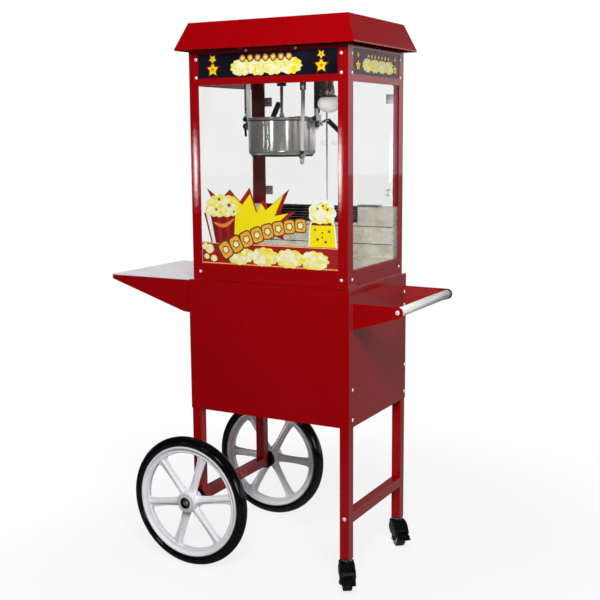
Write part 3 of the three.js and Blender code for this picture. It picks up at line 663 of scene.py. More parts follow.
def dress_cad_nodes():
    for name, cad_node in frame["nodes"].items():
        width = ROUNDING.get(name, USUAL_ROUNDING)
        for slot in cad_node.material_slots:
            base = slot.material.name.split(".")[0]
            slot.material = LOOKS[SPECIAL.get(name, base)]
            if base == "clear_pane":
                width = PANE_ROUNDING
        cad_node.modifiers.new("weld", "WELD").merge_threshold = WELD_REACH
        round_edges(cad_node, width)


# ---------------------------------------------------------------- wheels and axle

JOINTS = {joint["name"]: joint for joint in frame["record"]["behaviour"]["joints"]}
ENDS = (("front", -1), ("rear", 1))
SPOKES = 6
FRONT_WHEEL_ROLL = math.radians(11)
TYRE_DEPTH = 27.5
TYRE_CROWN = 20
RIM_DEPTH = 21
HUB_BORE = 6.4


def pivot(joint):
    """Where a joint's axis passes, in millimetres."""
    return Vector(JOINTS[joint]["pos_m"]) / MM


def wheel(end, side, roll):
    """A cast wheel: stepped rim, ridged spokes that flare at both ends, and a turned hub with a recess."""
    axis = Y * side
    centre = middle_of(f"tyre_{end}")
    low, high = box_of(f"tyre_{end}")
    rim = (high.z - low.z) / 2 - TYRE_DEPTH
    inner = rim - RIM_DEPTH
    casting = Shape("silver_wheel")
    half = [(rim, 14), (rim - 2.5, 15.5), (rim - 6, 14.5), (rim - 7.5, 9.5), (inner + 7, 7)]
    half += [(inner + 4, 8.5), (inner + 1, 7.5), (inner, 4)]
    casting.hoop(mirrored(half), centre, axis, 128)
    # Sections of a spoke: distance from the middle, half widths of the web and the ridge, and half the depth.
    stations = [(22, 15, 9, 17), (32, 14.5, 7.6, 14), (46, 12.5, 6.4, 11.5), (75, 11.5, 5.6, 9.4)]
    stations += [(105, 12, 5.2, 8.2), (inner - 12, 14, 5, 7.6), (inner - 5, 17.5, 5.6, 7.4)]
    stations += [(inner + 3, 24, 7, 7.2)]
    for k in range(SPOKES):
        out = polar(Vector(), X, Z, 1, roll + 2 * math.pi * k / SPOKES)
        across = axis.cross(out)
        rings = []
        for reach, web, ridge, height in stations:
            quarter = [(web, 2.0), (web - 1, 3.0), (ridge + 1.4, 3.4), (ridge * 0.55, height)]
            section = [(t, -h) for t, h in quarter] + [(-t, -h) for t, h in reversed(quarter)]
            section += [(-t, h) for t, h in quarter] + [(t, h) for t, h in reversed(quarter)]
            rings.append([centre + out * reach + across * t + axis * h for t, h in section])
        casting.rings(rings)
    hub = [(HUB_BORE, -25), (24, -25), (27, -23), (30, -19), (30.4, 20), (29.6, 22.4), (27.6, 23.6)]
    hub += [(20, 24.4), (15.5, 25.6), (14.4, 24), (14.4, 16.6), (HUB_BORE, 16.6)]
    casting.hoop(hub, centre, axis, 64)
    casting.piece(f"wheel_{end}_casting", f"wheel_{end}_body", "silver_wheel", [f"wheel_{end}"], 0.7)
    cap = Shape("black_plastic")
    liner = [(HUB_BORE, 16.9), (14.1, 16.9), (14.1, 25), (16.5, 26.1), (16.5, 26.9), (13.2, 26.9)]
    liner += [(12.4, 25.4), (12.4, 17.7), (HUB_BORE, 17.7)]
    cap.hoop(liner, centre, axis, 48)
    face = [(16.7, 25.2), (16.9, 26.8), (19, 27), (20.4, 25.8), (27, 25.2), (28.6, 23.8), (28.6, 22)]
    cap.use("hub_grey").hoop(face + [(16.7, 22)], centre, axis, 48)
    cap.piece(f"wheel_{end}_hub_cup", f"wheel_{end}_body", "black_plastic", (), 0.25)


def tyre(end, side):
    """A smooth solid tyre with a fine moulding line round each shoulder."""
    low, high = box_of(f"tyre_{end}")
    outer, half = (high.z - low.z) / 2, (high.y - low.y) / 2
    rim, crown = outer - TYRE_DEPTH, outer - TYRE_CROWN
    wall = [(rim + 0.4, 14), (rim + 2.5, 16.2), (crown - 2.4, half - 0.5), (crown - 1.2, half - 1.1)]
    wall.append((crown, half - 0.1))
    tread = arc(crown, 0, TYRE_CROWN, half, math.pi / 2, -math.pi / 2, 12)[1:-1]
    far_wall = [(r, -h) for r, h in reversed(wall)]
    shape = Shape("tyre_rubber")
    shape.hoop(wall + tread + far_wall, middle_of(f"tyre_{end}"), Y * side, 160)
    shape.piece(f"tyre_{end}_ring", f"wheel_{end}_body", "tyre_rubber", [f"tyre_{end}"], 0, 50)


def axle():
    """The steel axle with washers and nuts, and a ribbed plastic spacer between each leg and its wheel."""
    low, high = box_of("axle")
    centre = middle_of("axle")
    plane = middle_of("tyre_rear").y
    shape = Shape("zinc_steel")
    shape.rod((centre.x, low.y, centre.z), (centre.x, high.y, centre.z), 6, 32, 1)
    for _, side in ENDS:
        along = Y * side
        face = centre + along * plane
        shape.lathe([(11.6, 18), (11.9, 18.3), (11.9, 19.6), (11.6, 19.9)], face, along, 40)
        shape.lathe([(8, 20), (9.4, 20.9), (9.4, 25.2), (7.6, 26.4)], face, along, 6)
        for turn in range(6):
            z = 26.6 + 0.25 * turn
            shape.hoop([(6.15, z - 0.1), (6.3, z), (6.15, z + 0.1), (5.8, z)], face, along, 32)
        start = abs(box_of("panel_front")[0].y) + 2
        end = plane - 26
        ribs = [(20, start), (27, start), (28, start + 1)]
        for k in range(4):
            step = start + 1 + (end - start - 2) * (k + 0.5) / 4
            ribs += [(28, step - 1.1), (26, step - 0.6), (26, step + 0.6), (28, step + 1.1)]
        ribs += [(28, end - 1), (27, end), (20, end)]
        shape.use("black_plastic").lathe(ribs, (centre.x, 0, centre.z), along, 64)
        shape.use("zinc_steel")
    shape.piece("axle_and_nuts", CART, "zinc_steel", ["axle"], 0.2)


# ---------------------------------------------------------------- casters

HOOD_MIDDLE = 52

def caster(end):
    """A twin-cheek swivel caster: stepped hood, race, wheel with a pale disc, and ribbed brake pedal."""
    foot = pivot(f"caster_{end}_swivel")
    hub = pivot(f"caster_wheel_{end}_roll")
    foot.z = 0
    trail = Vector((hub.x - foot.x, hub.y - foot.y, 0))
    reach, radius = trail.length, hub.z
    along = trail.normalized()
    across = Z.cross(along)
    top = box_of(f"caster_{end}")[1].z

    def at(u, v, z):
        return foot + along * u + across * v + Z * z

    curve = smooth_path([(14, 0, 79), (29, 0, 75), (41, 0, 64), (47, 0, 48)], 9)
    crown = [(-15, 50), (-14.6, 66), (-13.6, 76), (-11, 79), (0, 79)] + [(p.x, p.z) for p in curve[:-1]]
    solid = [(47, 44), (41, 33), (reach + 8, 33), (reach + 6, 18), (reach - 6, 18), (reach - 8, 33)]
    solid += [(-6, 36), (-12, 43)]
    well = [(44, 53), (33, 53)] + arc(reach, radius, 28, 28, math.radians(60), math.radians(145), 5)
    layers = [(-21, solid, 2.2), (-19.5, solid, 0), (-15, solid, 0), (-15, well, 0)]
    layers += [(-v, lower, inset) for v, lower, inset in reversed(layers)]
    skins = []
    for v, lower, inset in layers:
        ring = []
        for u, z in crown + lower:
            share = 1 - inset / max(math.hypot(u - reach, z - HOOD_MIDDLE), 1)
            ring.append(at(reach + (u - reach) * share, v, HOOD_MIDDLE + (z - HOOD_MIDDLE) * share))
        skins.append(ring)
    hood = Shape("black_plastic").rings(skins)
    for side in (-1, 1):
        band = [(-14.2, 51), (-14.5, 60), (-10, 66), (20, 66), (36, 62), (44, 52), (45.5, 47)]
        plate = [(u * 0.96, z) for u, z in band] + [(38, 43), (reach, 41), (-8, 44)]
        hood.prism(plate, at(0, side * 20.4, 0), across * (side * 1.9), along)
        boss = [(6.4, 0), (6.4, 1), (5.2, 2.2), (2.4, 2.6)]
        hood.use("zinc_steel").lathe(boss, at(reach, side * 20.6, radius), across * side, 6)
        hood.use("black_plastic")
    hood.rod(at(reach, -20.8, radius), at(reach, 20.8, radius), 4, 20)
    hood.lathe([(16, 76), (18, 78.5), (18, 81), (16.4, 83.4)], foot, Z, 56)
    race = [(15.4, 82.5), (16.6, 83.6), (16.6, 85.8), (14.6, top - 22.6), (5, top - 22.6)]
    hood.use("zinc_steel").lathe(race, foot, Z, 56)
    hood.rod(at(0, 0, 84), at(0, 0, top), 5, 24, 1)
    hood.piece(f"caster_{end}_hood", f"caster_{end}_body", "black_plastic", [f"caster_{end}"], 1.0)

    roller = Shape("caster_tread")
    tread = [(13.5, 12), (20.5, 13), (23, 12.6), (radius - 0.5, 10.6), (radius, 8), (radius, 0.7)]
    roller.hoop(mirrored(tread + [(radius - 0.5, 0.3)]), hub, across, 72)
    disc = [(4.3, 13.6), (7, 13.6), (7.6, 12.2), (14.6, 11.6), (15.6, 12.6), (16.6, 12.6), (17, 11)]
    roller.use("hub_grey").hoop(mirrored(disc), hub, across, 56)
    name = f"caster_wheel_{end}"
    roller.piece(f"{name}_tread", f"{name}_body", "caster_tread", [name], 0.3)

    pedal = Shape("black_plastic")
    blade = [(40.5, 40.5), (50, 42), (58, 36.5), (64, 32), (66.5, 34), (60, 40.5), (52.5, 46.5)]
    blade += [(48, 46.6), (40.5, 44)]
    rings = []
    for v, inset in ((-16.8, 1.2), (-16, 0), (16, 0), (16.8, 1.2)):
        long, high = 1 - inset / 14, 1 - inset / 9
        rings.append([at(53 + (u - 53) * long, v, 40 + (z - 40) * high) for u, z in blade])
    pedal.rings(rings)
    wings = [(51.5, 42.5), (64, 32.6), (66.3, 34.2), (54, 45)]
    pedal.prism(wings, at(0, -19.5, 0), across * 39, along)
    for k in range(4):
        u, z = 53.4 + 3.3 * k, 46.2 - 2.75 * k
        rib = [(u, z - 1.6), (u + 1.6, z - 2.9), (u + 2.2, z - 1.9), (u + 0.8, z - 0.4)]
        pedal.prism(rib, at(0, -17, 0), across * 34, along)
    pedal.piece(f"brake_pedal_{end}_lever", f"brake_{end}_body", "black_plastic", [f"brake_pedal_{end}"], 0.5)


# ---------------------------------------------------------------- kettle, lids, drive, hose and lamp

TILT = pivot("kettle_tilt")
KETTLE_X = TILT.x
LID_LOW, LID_HIGH = box_of("lid_front")
LID_GAP = 0.4
RIM_TOP = LID_LOW.z - LID_GAP
BOWL = (LID_HIGH.x - LID_LOW.x) / 2 - 1
BOWL_BEND = 14
BOWL_WALL = 1.5
HANGER = KETTLE_X - box_of("hanger_left")[1].x + 1.5


def kettle():
    """The pan with its rolled rim, welt, heater cover, side brackets, bridge, trunnions and tipping lever."""
    bottom = box_of("kettle")[0].z + 3
    centre = Vector((KETTLE_X, 0, 0))
    shape = Shape("polished_steel")
    outer = [(2, bottom)]
    outer += arc(BOWL - BOWL_BEND, bottom + BOWL_BEND, BOWL_BEND, BOWL_BEND, -math.pi / 2, 0, 8)
    outer += [(BOWL, RIM_TOP - 12), (BOWL + 0.1, RIM_TOP - 6.5)]
    outer += arc(BOWL + 1, RIM_TOP - 3, 2.4, 2.6, -math.pi / 2, math.pi / 2, 8)
    inside = BOWL - BOWL_WALL
    outer += [(inside, RIM_TOP - 1), (inside, bottom + 18), (inside - 8, bottom + 10), (2, bottom + 10)]
    shape.lathe(outer, centre, Z, 112)
    # A black band just under the rolled rim: painted shade of the rim's underside, not a real part.
    rim_shade_band = [(0.05, 8.4), (0.9, 8), (0.9, 6), (0.05, 5.7)]
    shape.use("black_plastic").hoop([(BOWL + out, RIM_TOP - drop) for out, drop in rim_shade_band], centre, Z, 112)
    welt = [(84, bottom - 2.4), (88, bottom - 2.4), (89.5, bottom + 1.6), (84, bottom + 1.4)]
    shape.hoop(welt, centre, Z, 96)
    cover = [(74, bottom - 3), (76, bottom - 2.6), (78, bottom + 0.6), (70, bottom + 0.8)]
    shape.use("satin_steel").lathe(cover, centre, Z, 96)
    for k in range(8):
        angle = math.radians(22.5 + 45 * k)
        shape.screw(polar(centre + Z * (bottom - 1.4), X, Y, 84, angle), -Z, 3)
    top = RIM_TOP - 1.4
    rib = [(-8, top - 3.6), (8, top - 3.6), (8, top - 0.6), (6.6, top), (-6.6, top), (-8, top - 0.6)]
    shaft = 5.4
    shape.use("polished_steel")
    for side in (-1, 1):
        start = Vector((KETTLE_X + side * shaft, 0, 0))
        shape.prism(rib, start, X * (side * (BOWL - 1 - shaft)), Y)
    shape.hoop([(shaft, top - 3.6), (9.4, top - 3.6), (9.4, top + 0.9), (shaft, top + 0.9)], centre, Z, 40)
    plate = [(-15, -13), (15, -13), (17, -10), (17, 9), (15, 12), (-15, 12), (-17, 9), (-17, -10)]
    for side in (-1, 1):
        wall_at = Vector((KETTLE_X + side * inside, 0, TILT.z))
        out = X * side
        shape.use("satin_steel").prism(plate, wall_at, out * 4.2, Y)
        shape.screws([wall_at + out * 4.1 + Y * y + Z * 4 for y in (-11.5, 11.5)], out, 3.2)
        shape.use("polished_steel").lathe([(8, 3.8), (8.6, 4.6), (8.6, 7.2), (7.4, 8.2)], wall_at, out, 32)
        shape.rod(wall_at + out * 2, (KETTLE_X + side * (HANGER + 10), 0, TILT.z), 5, 32, 0.6)
    lever_x = KETTLE_X + HANGER + 14
    elbow = Vector((lever_x, 42, TILT.z + 10))
    tip = Vector((lever_x, 124, TILT.z - 24))
    grip_start = elbow + (tip - elbow) * 0.02
    shape.rod((lever_x - 8, 0, TILT.z), (lever_x + 5, 0, TILT.z), 5.6, 32, 0.8)
    arm = [(lever_x, 0, TILT.z), (lever_x, 20, TILT.z + 7), elbow - Y * 4, elbow + (tip - elbow) * 0.15]
    shape.tube(smooth_path(arm, 20), 4, 20)
    length = (tip - grip_start).length
    grip = [(4.6, 0), (6.6, 0.8), (7.2, 3), (7.2, length - 5), (6.6, length - 1.6), (4.4, length)]
    shape.use("black_plastic").lathe(grip, grip_start, (tip - grip_start).normalized(), 40)
    shape.piece("kettle_pan", "kettle_body", "polished_steel", ["kettle"], 0.35)


def kettle_lid(end, side):
    """A half-round lid flap with a raised rim, a hinge roll and, at the rear, a black handle."""
    shape = Shape("polished_steel")
    low = RIM_TOP + LID_GAP
    radius = BOWL + 1
    start = math.asin(9.0 / radius)
    base = Vector((KETTLE_X, 0, low))
    shape.prism(arc(0, 0, radius, side * radius, start, math.pi - start, 48), base, Z * 1.1, X, Y)
    inner, start = radius - 9, start * 2.2
    raised = arc(0, 0, inner, side * inner, start, math.pi - start, 48)
    lower = [base + X * u + Y * v + Z * 1.0 for u, v in raised]
    upper = [base + X * (u * 0.965) + Y * (side * 16 + (v - side * 16) * 0.965) + Z * 2.2 for u, v in raised]
    shape.rings([lower, upper])
    for x in (-62, 62):
        place = base + X * x + Y * (side * 11.5) + Z * 2.3
        shape.rod(place - X * 14, place + X * 14, 2.1, 20, 0.4)
        shape.box(place - Vector((12, 2, 1.4)), place + Vector((12, 10 if side > 0 else 2, 0.2)))
    if end == "rear":
        foot = Vector((KETTLE_X - 55.5, 43, low + 0.9))
        tip = Vector((KETTLE_X - 47, 68, low + 46))
        length = (tip - foot).length
        shape.lathe([(11, 0), (11, 1.2), (7, 2.2)], foot - Z * 0.4, Z, 32)
        grip = [(6.6, 1), (7.6, 3), (8, 8), (8.2, length - 4), (7.4, length - 1), (5, length)]
        shape.use("black_plastic").lathe(grip, foot, (tip - foot).normalized(), 40)
    shape.piece(f"lid_{end}_flap", f"lid_{end}_body", "polished_steel", [f"lid_{end}"], 0.25)


def stirring():
    """The slotted drive coupling under the ceiling and the agitator with two blades on its long shaft."""
    low, high = box_of("drive_coupling")
    centre = Vector((KETTLE_X, 0, 0))
    drive = Shape("black_plastic")
    profile = [(8, low.z), (12, low.z), (13.6, low.z + 1.6), (13.6, low.z + 12), (15.4, low.z + 14)]
    profile += [(15.4, low.z + 24), (17.5, low.z + 26), (17.5, high.z - 4), (20, high.z - 3), (20, high.z)]
    drive.lathe(profile, centre, Z, 56)
    drive.use("zinc_steel").lathe([(7.6, low.z - 0.2), (7.6, low.z + 0.8), (5, low.z + 0.8)], centre, Z, 32)
    drive.screw((KETTLE_X, -15.2, low.z + 19), -Y, 2.6)
    drive.piece("drive_coupling_socket", "drive_body", "black_plastic", ["drive_coupling"], 0.4)
    foot, top = box_of("agitator")
    shape = Shape("polished_steel")
    shape.lathe([(4.2, foot.z), (4.5, foot.z + 1), (4.5, top.z - 2), (3.8, top.z)], centre, Z, 32)
    boss = [(9, 5.6), (10, 7), (10, 18), (8.6, 19.4), (4.6, 19.4)]
    shape.lathe([(r, foot.z + height) for r, height in boss], centre, Z, 40)
    collar = [(6.5, 4), (7, 5), (7, 12), (6.2, 13)]
    shape.lathe([(r, RIM_TOP + height) for r, height in collar], centre, Z, 32)
    blade = [(-4, 0), (4, 0), (3, 3.6), (1.2, 6), (-1.2, 6), (-3, 3.6)]
    for reach, along in ((76, X), (50, Y)):
        shape.prism(blade, centre + Z * foot.z - along * reach, along * (2 * reach), Z.cross(along))
    shape.piece("agitator_and_shaft", "agitator_body", "polished_steel", ["agitator"], 0.3)


HOSE_RADIUS = 5.4
HOSE_WAVE = 0.32
HOSE_PITCH = 3.2
HOSE_TURN = 15
FERRULE_LOW = 1177


def hose_radius(distance):
    """The radius of the flexible metal hose along its length."""
    return HOSE_RADIUS + HOSE_WAVE * math.sin(2 * math.pi * distance / HOSE_PITCH)


def hose():
    """The heater's hose: ceiling fitting and corrugated metal, in two lengths that part at the tilt axis."""
    low, high = box_of("hose_upper")
    y = (low.y + high.y) / 2
    x = high.x - 10
    upper = Shape("black_plastic")

    def fitting(profile, steps):
        upper.lathe([(r, high.z - drop) for r, drop in profile], (x, y, 0), Z, steps)

    fitting([(10.5, 33), (11.5, 31), (11.5, 21), (10, 19)], 8)
    fitting([(12, 6), (13, 4.5), (13, 0)], 40)
    fitting([(9, 20), (9, 5)], 32)
    upper.use("satin_steel")
    fitting([(7.4, 56), (8.6, 54), (8.6, 33), (8, 32)], 40)
    ends = [(x, y, high.z - 54), (x, y, high.z - 78), (x - 1, y, high.z - 115), (x - 2.5, y, low.z)]
    upper.use("braid").tube(smooth_path(ends, 180), hose_radius, 24)
    upper.piece("hose_upper_braid", CART, "polished_steel", ["hose_upper"], 0.25)

    foot, joint = box_of("hose_lower")
    lowest = foot.z + 6.5
    bottom_x = KETTLE_X + 94
    away = Vector((-0.5, 0.87, 0)).normalized()
    path = [(x - 2.5, y, joint.z), (bottom_x, y, FERRULE_LOW + 58), (bottom_x, y, FERRULE_LOW + 23)]
    for reach, z in arc(HOSE_TURN, lowest + HOSE_TURN, HOSE_TURN, HOSE_TURN, math.pi, 2 * math.pi, 6):
        path.append(Vector((bottom_x, y, z)) + away * reach)
    path.append(Vector((path[-1].x, path[-1].y, joint.z - 92)))
    lower = Shape("braid").tube(smooth_path(path, 330), hose_radius, 24)
    ferrule = Vector((bottom_x, y, FERRULE_LOW))
    lower.use("satin_steel").lathe([(7, 0), (8.6, 2), (8.6, 19), (7.2, 21)], ferrule, Z, 40)
    lower.lathe([(9.5, 5), (9.5, 13)], ferrule, Z, 6)
    lower.piece("hose_lower_braid", "kettle_body", "polished_steel", ["hose_lower"], 0.25)


HANGER_HALF = 12.5
TRUNNION_HOLE = 5.35


def hangers():
    """Channel-shaped hangers with a bearing clamp each; the left one has a small locking lever."""
    half, hole = HANGER_HALF, TRUNNION_HOLE
    shoulder = TILT.z + hole
    for name, side in (("left", -1), ("right", 1)):
        low, high = box_of(f"hanger_{name}")
        x = KETTLE_X + side * HANGER
        shape = Shape("satin_steel")
        shape.prism(rectangle(-half, half, shoulder, high.z), (x - 1.3, 0, 0), X * 2.6, Y)
        lower = [(-half, shoulder), (-half, TILT.z - 9), (-9, low.z), (9, low.z), (half, TILT.z - 9)]
        lower += [(half, shoulder), (hole, shoulder)] + arc(0, TILT.z, hole, -hole, 0, math.pi, 12)
        shape.prism(lower + [(-hole, shoulder)], (x - 1.3, 0, 0), X * 2.6, Y)
        for y in (-half, half - 1.4):
            shape.box((x, y, TILT.z + 30), (x + side * 5, y + 1.4, high.z))
        shape.box((x, -half, high.z - 2), (x + side * 20, half, high.z))
        clamp = x + side * 1.6
        shape.box((clamp, -14.5, TILT.z + 8), (clamp + side * 5, 14.5, TILT.z + 26))
        shape.use("black_plastic")
        knob = (x + side * 1.2, -14.5, TILT.z + 15)
        shape.lathe([(5, 0), (6.4, 1.2), (6.4, 5), (5, 7)], knob, -Y, 28)
        bearing = [(hole, -1.6), (9.5, -1.6), (10.5, 0), (9.5, 1.6), (hole, 1.6)]
        shape.hoop(bearing, (clamp + side * 2.2, 0, TILT.z), X, 36)
        if side < 0:
            hook = [(-3, -16, 2), (-4, -19, -6), (1, -20, -12), (3, -20, -34)]
            corner = Vector((x, 0, TILT.z))
            shape.tube(smooth_path([corner + Vector(p) for p in hook], 16), 3.4, 16)
        shape.piece(f"hanger_{name}_bracket", CART, "satin_steel", [f"hanger_{name}"], 0.35)


SOCKET_LOW, SOCKET_HIGH = 1313, 1388
HOLDER_LOW, HOLDER_HIGH = 1364, 1392
COLLAR_HEIGHTS = [1344, 1350, 1356, 1362, 1368, 1374, 1380, 1386, 1392, 1396]
COLLAR_POINTS = 28
BULB_MIDDLE = 1325


def lamp():
    """The warming lamp: a black socket, a creased bright collar and a frosted reflector bulb."""
    low, high = box_of("warming_lamp")
    bulb_x = high.x - 27
    y = (low.y + high.y) / 2
    socket_x = low.x + 4
    shape = Shape("black_plastic")
    shape.box((socket_x - 4, y - 14, SOCKET_LOW), (socket_x + 11, y + 14, SOCKET_HIGH))
    shape.box((socket_x + 2, y - 10, SOCKET_HIGH - 2), (socket_x + 8, y + 10, high.z))
    shape.box((socket_x + 9, y - 9, HOLDER_LOW), (socket_x + 24, y + 9, HOLDER_HIGH))
    random.seed(5)
    collar = []
    for i, height in enumerate(COLLAR_HEIGHTS):
        ring = []
        for k in range(COLLAR_POINTS):
            r = 15.5 + 1.8 * math.sin(i * 0.8) + random.uniform(-1.6, 1.6)
            ring.append(polar(Vector((bulb_x - 3, y, height)), X, Y, r, 2 * math.pi * k / COLLAR_POINTS))
        collar.append(ring)
    shape.use("satin_steel").rings(collar)
    shape.rod((bulb_x - 3, y, 1395), (bulb_x - 3, y, high.z), 9, 32, 0.5)
    dome = arc(0, BULB_MIDDLE, 32.5, 24, -math.pi / 2, math.pi / 2, 16)
    shape.use("lamp_white").lathe([(max(0.6, r), height) for r, height in dome], (bulb_x, y, 0), Z, 64)
    shape.use("satin_steel").hoop([(17, 1344), (24, 1341), (25, 1343), (18, 1348)], (bulb_x - 1, y, 0), Z, 56)
    shape.piece("warming_lamp_bulb", CART, "lamp_white", ["warming_lamp"], 0.3)


# ---------------------------------------------------------------- doors, controls, tray and handle

FRONT_GLASS = middle_of("glass_front")


def knuckles(shape, axis, height, numbers, pitch, half):
    """The rolls of a hinge on an upright axis."""
    for k in numbers:
        z = height + pitch * k
        shape.rod((axis.x, axis.y, z - half), (axis.x, axis.y, z + half), 3, 24, 0.4)


def case_doors():
    """Clear operator doors with small leaf hinges and a round knob each."""
    for name, side in (("left", -1), ("right", 1)):
        low, high = box_of(f"case_door_{name}")
        post = pivot(f"case_door_{name}_swing")
        outside, meeting = post.x - side * 0.9, FRONT_GLASS.x + side * 0.5
        back = high.y - 16
        door = f"case_door_{name}"
        pane = Shape("clear_pane").box((outside, back - 4.4, low.z), (meeting, back - 0.4, high.z))
        pane.piece(f"{door}_pane", f"{door}_body", "clear_pane", [door], 0.4)
        fittings = Shape("hinge_steel")
        fittings.box((meeting, back - 4.8, low.z + 0.4), (meeting + side * 1.2, back, high.z - 0.4))
        for height in (low.z + 37, high.z - 56):
            see_through = side > 0 and height < FRONT_GLASS.z
            fittings.use("clear_pane" if see_through else "hinge_steel")
            fittings.box((post.x, back - 0.3, height - 13.5), (post.x - side * 24, back + 2.4, height + 13.5))
            fittings.use("hinge_steel")
            for z in (-7, 7):
                fittings.screw((post.x - side * 15, back + 2.3, height + z), Y, 3)
                fittings.screw((post.x - side * 15, back - 4.3, height + z), -Y, 4)
            knuckles(fittings, post, height, (-1, 0, 1), 9, 4.3)
        knob = (meeting + side * 18, back, (low.z + high.z) / 2)
        profile = [(4, -0.6), (4.5, 7), (7, 9), (8.4, 12), (7.6, 15), (4, 16)]
        fittings.use("clear_pane").lathe(profile, knob, Y, 36)
        fittings.piece(f"{door}_fittings", f"{door}_body", "satin_steel", (), 0.3)


def cabinet_door():
    """The folded rear door with a pressed border, leaf hinges and a knob."""
    low, high = box_of("cabinet_door")
    left, right = box_of("leg_rear_left")[1].x + 0.4, box_of("leg_rear_right")[0].x - 0.4
    face = high.y - 20

    def border(inset, y):
        outline = rectangle(left + inset, right - inset, low.z + inset, high.z - inset)
        return [Vector((x, y, z)) for x, z in outline]

    pressed = ((0, face - 12), (0, face), (26, face), (29, face - 2))
    shape = Shape("red_paint").rings([border(inset, y) for inset, y in pressed])
    shape.piece("cabinet_door_leaf", "cabinet_door_body", "red_paint", ["cabinet_door"], 0.5)
    fittings = Shape("zinc_steel")
    for height in (low.z + 50, high.z - 50):
        fittings.box((left + 1, face - 0.4, height - 20), (left + 20, face + 1.8, height + 20))
        knuckles(fittings, pivot("cabinet_door_swing"), height, range(-2, 3), 8, 3.8)
        fittings.screws([(left + 12, face + 1.7, height + z) for z in (-12, 12)], Y, 3.4)
    knob = [(6, -0.6), (6.5, 9), (10, 12), (12, 16), (10.5, 19.4), (5, 20)]
    fittings.use("black_plastic").lathe(knob, (right - 22, face, (low.z + high.z) / 2), Y, 40)
    fittings.piece("cabinet_door_fittings", "cabinet_door_body", "zinc_steel", (), 0.3)


BEZEL_X, BEZEL_Z, BEZEL_WIDTH = 8.4, 14.6, 2.4
INLET_HEIGHT = 930
GRILLE_LOW, GRILLE_HIGH = 988, 1032
SEAM_HEIGHTS = (976, 925)
PANEL_SCREW_HEIGHTS = (1020, 898)


def controls():
    """Rocker switches, their bezels, the vent grille inside the case and the mains inlet behind."""
    low, high = box_of("control_panel")
    panel = Shape("black_plastic")

    def slab(x0, x1, y0, y1, z0, z1):
        panel.box((x0, y0, z0), (x1, y1, z1))

    for name in ("power", "heat", "light"):
        centre = pivot(f"switch_{name}_rock")
        a, b, wide = BEZEL_X, BEZEL_Z, BEZEL_WIDTH
        x, z = centre.x, centre.z
        for x0, x1, z0, z1 in (
            (-a - wide, -a, -b - wide, b + wide),
            (a, a + wide, -b - wide, b + wide),
            (-a, a, -b - wide, -b),
            (-a, a, b, b + wide),
        ):
            slab(x + x0, x + x1, high.y - 0.4, high.y + 1.8, z + z0, z + z1)
        rocker = Shape("black_plastic" if name != "heat" else "switch_red")
        profile = [(-12.4, -1.2), (-6, 0.1), (0, 1.6), (6, 0.6), (12.4, 2.6), (12.4, -6), (-12.4, -6)]
        rings = []
        for x, inset in ((-7.4, 0.5), (-6.8, 0), (6.8, 0), (7.4, 0.5)):
            tilted = [Vector((x, y + 3.2 - z * 0.06 - inset, z)) for z, y in profile]
            rings.append([centre + p for p in tilted])
        rocker.rings(rings)
        rocker.piece(f"switch_{name}_cap", f"switch_{name}_body", "black_plastic", [f"switch_{name}"], 0.5)
    inlet = Vector((high.x - 90, high.y, INLET_HEIGHT))
    panel.box(inlet + Vector((-25, -0.4, -14)), inlet + Vector((25, 2.2, 14)))
    recess = [(-12, -8), (12, -8), (12, 6), (9, 9), (-9, 9), (-12, 6)]
    panel.prism([(u * 1.15, z * 1.15) for u, z in recess], inlet + Y * 2, Y * 1.6, X)
    panel.use("zinc_steel")
    for x, z in ((-6, 0), (6, 0), (0, 5)):
        panel.box(inlet + Vector((x - 1, 3, z - 2.5)), inlet + Vector((x + 1, 4.6, z + 2.5)))
    panel.screws([inlet + Vector((x, 2.1, 0)) for x in (-20, 20)], Y, 3)
    panel.use("black_plastic")
    left, right = FRONT_GLASS.x - 197, FRONT_GLASS.x + 122
    face = low.y + 0.4
    for k in range(5):
        z = GRILLE_LOW + 4 + 8 * k
        slat = [(face, z), (face - 3.8, z - 1.6), (face - 3.8, z + 1.4), (face, z + 5.2)]
        panel.prism(slat, (left, 0, 0), X * (right - left), Y)
    slab(left - 3, right + 3, face - 1.6, face, GRILLE_LOW - 2, GRILLE_LOW + 3)
    slab(left - 3, right + 3, face - 4, face, GRILLE_HIGH - 2, GRILLE_HIGH + 2.5)
    for x in (left - 3, right):
        slab(x, x + 3, face - 4, face, GRILLE_LOW, GRILLE_HIGH)
    for z in SEAM_HEIGHTS:
        slab(low.x + 2, high.x - 2, face - 1.4, face, z - 0.9, z + 0.9)
    panel.use("satin_steel")
    slab(right + 3, right + 70, low.y - 3, low.y + 22, GRILLE_HIGH + 1.5, GRILLE_HIGH + 6.5)
    panel.use("screw_head")
    for x in (low.x + 14, low.x + 120, high.x - 120, high.x - 14):
        panel.screws([(x, high.y - 0.2, z) for z in PANEL_SCREW_HEIGHTS], Y, 3.4)
    panel.piece("control_fittings", CART, "black_plastic", (), 0.35)


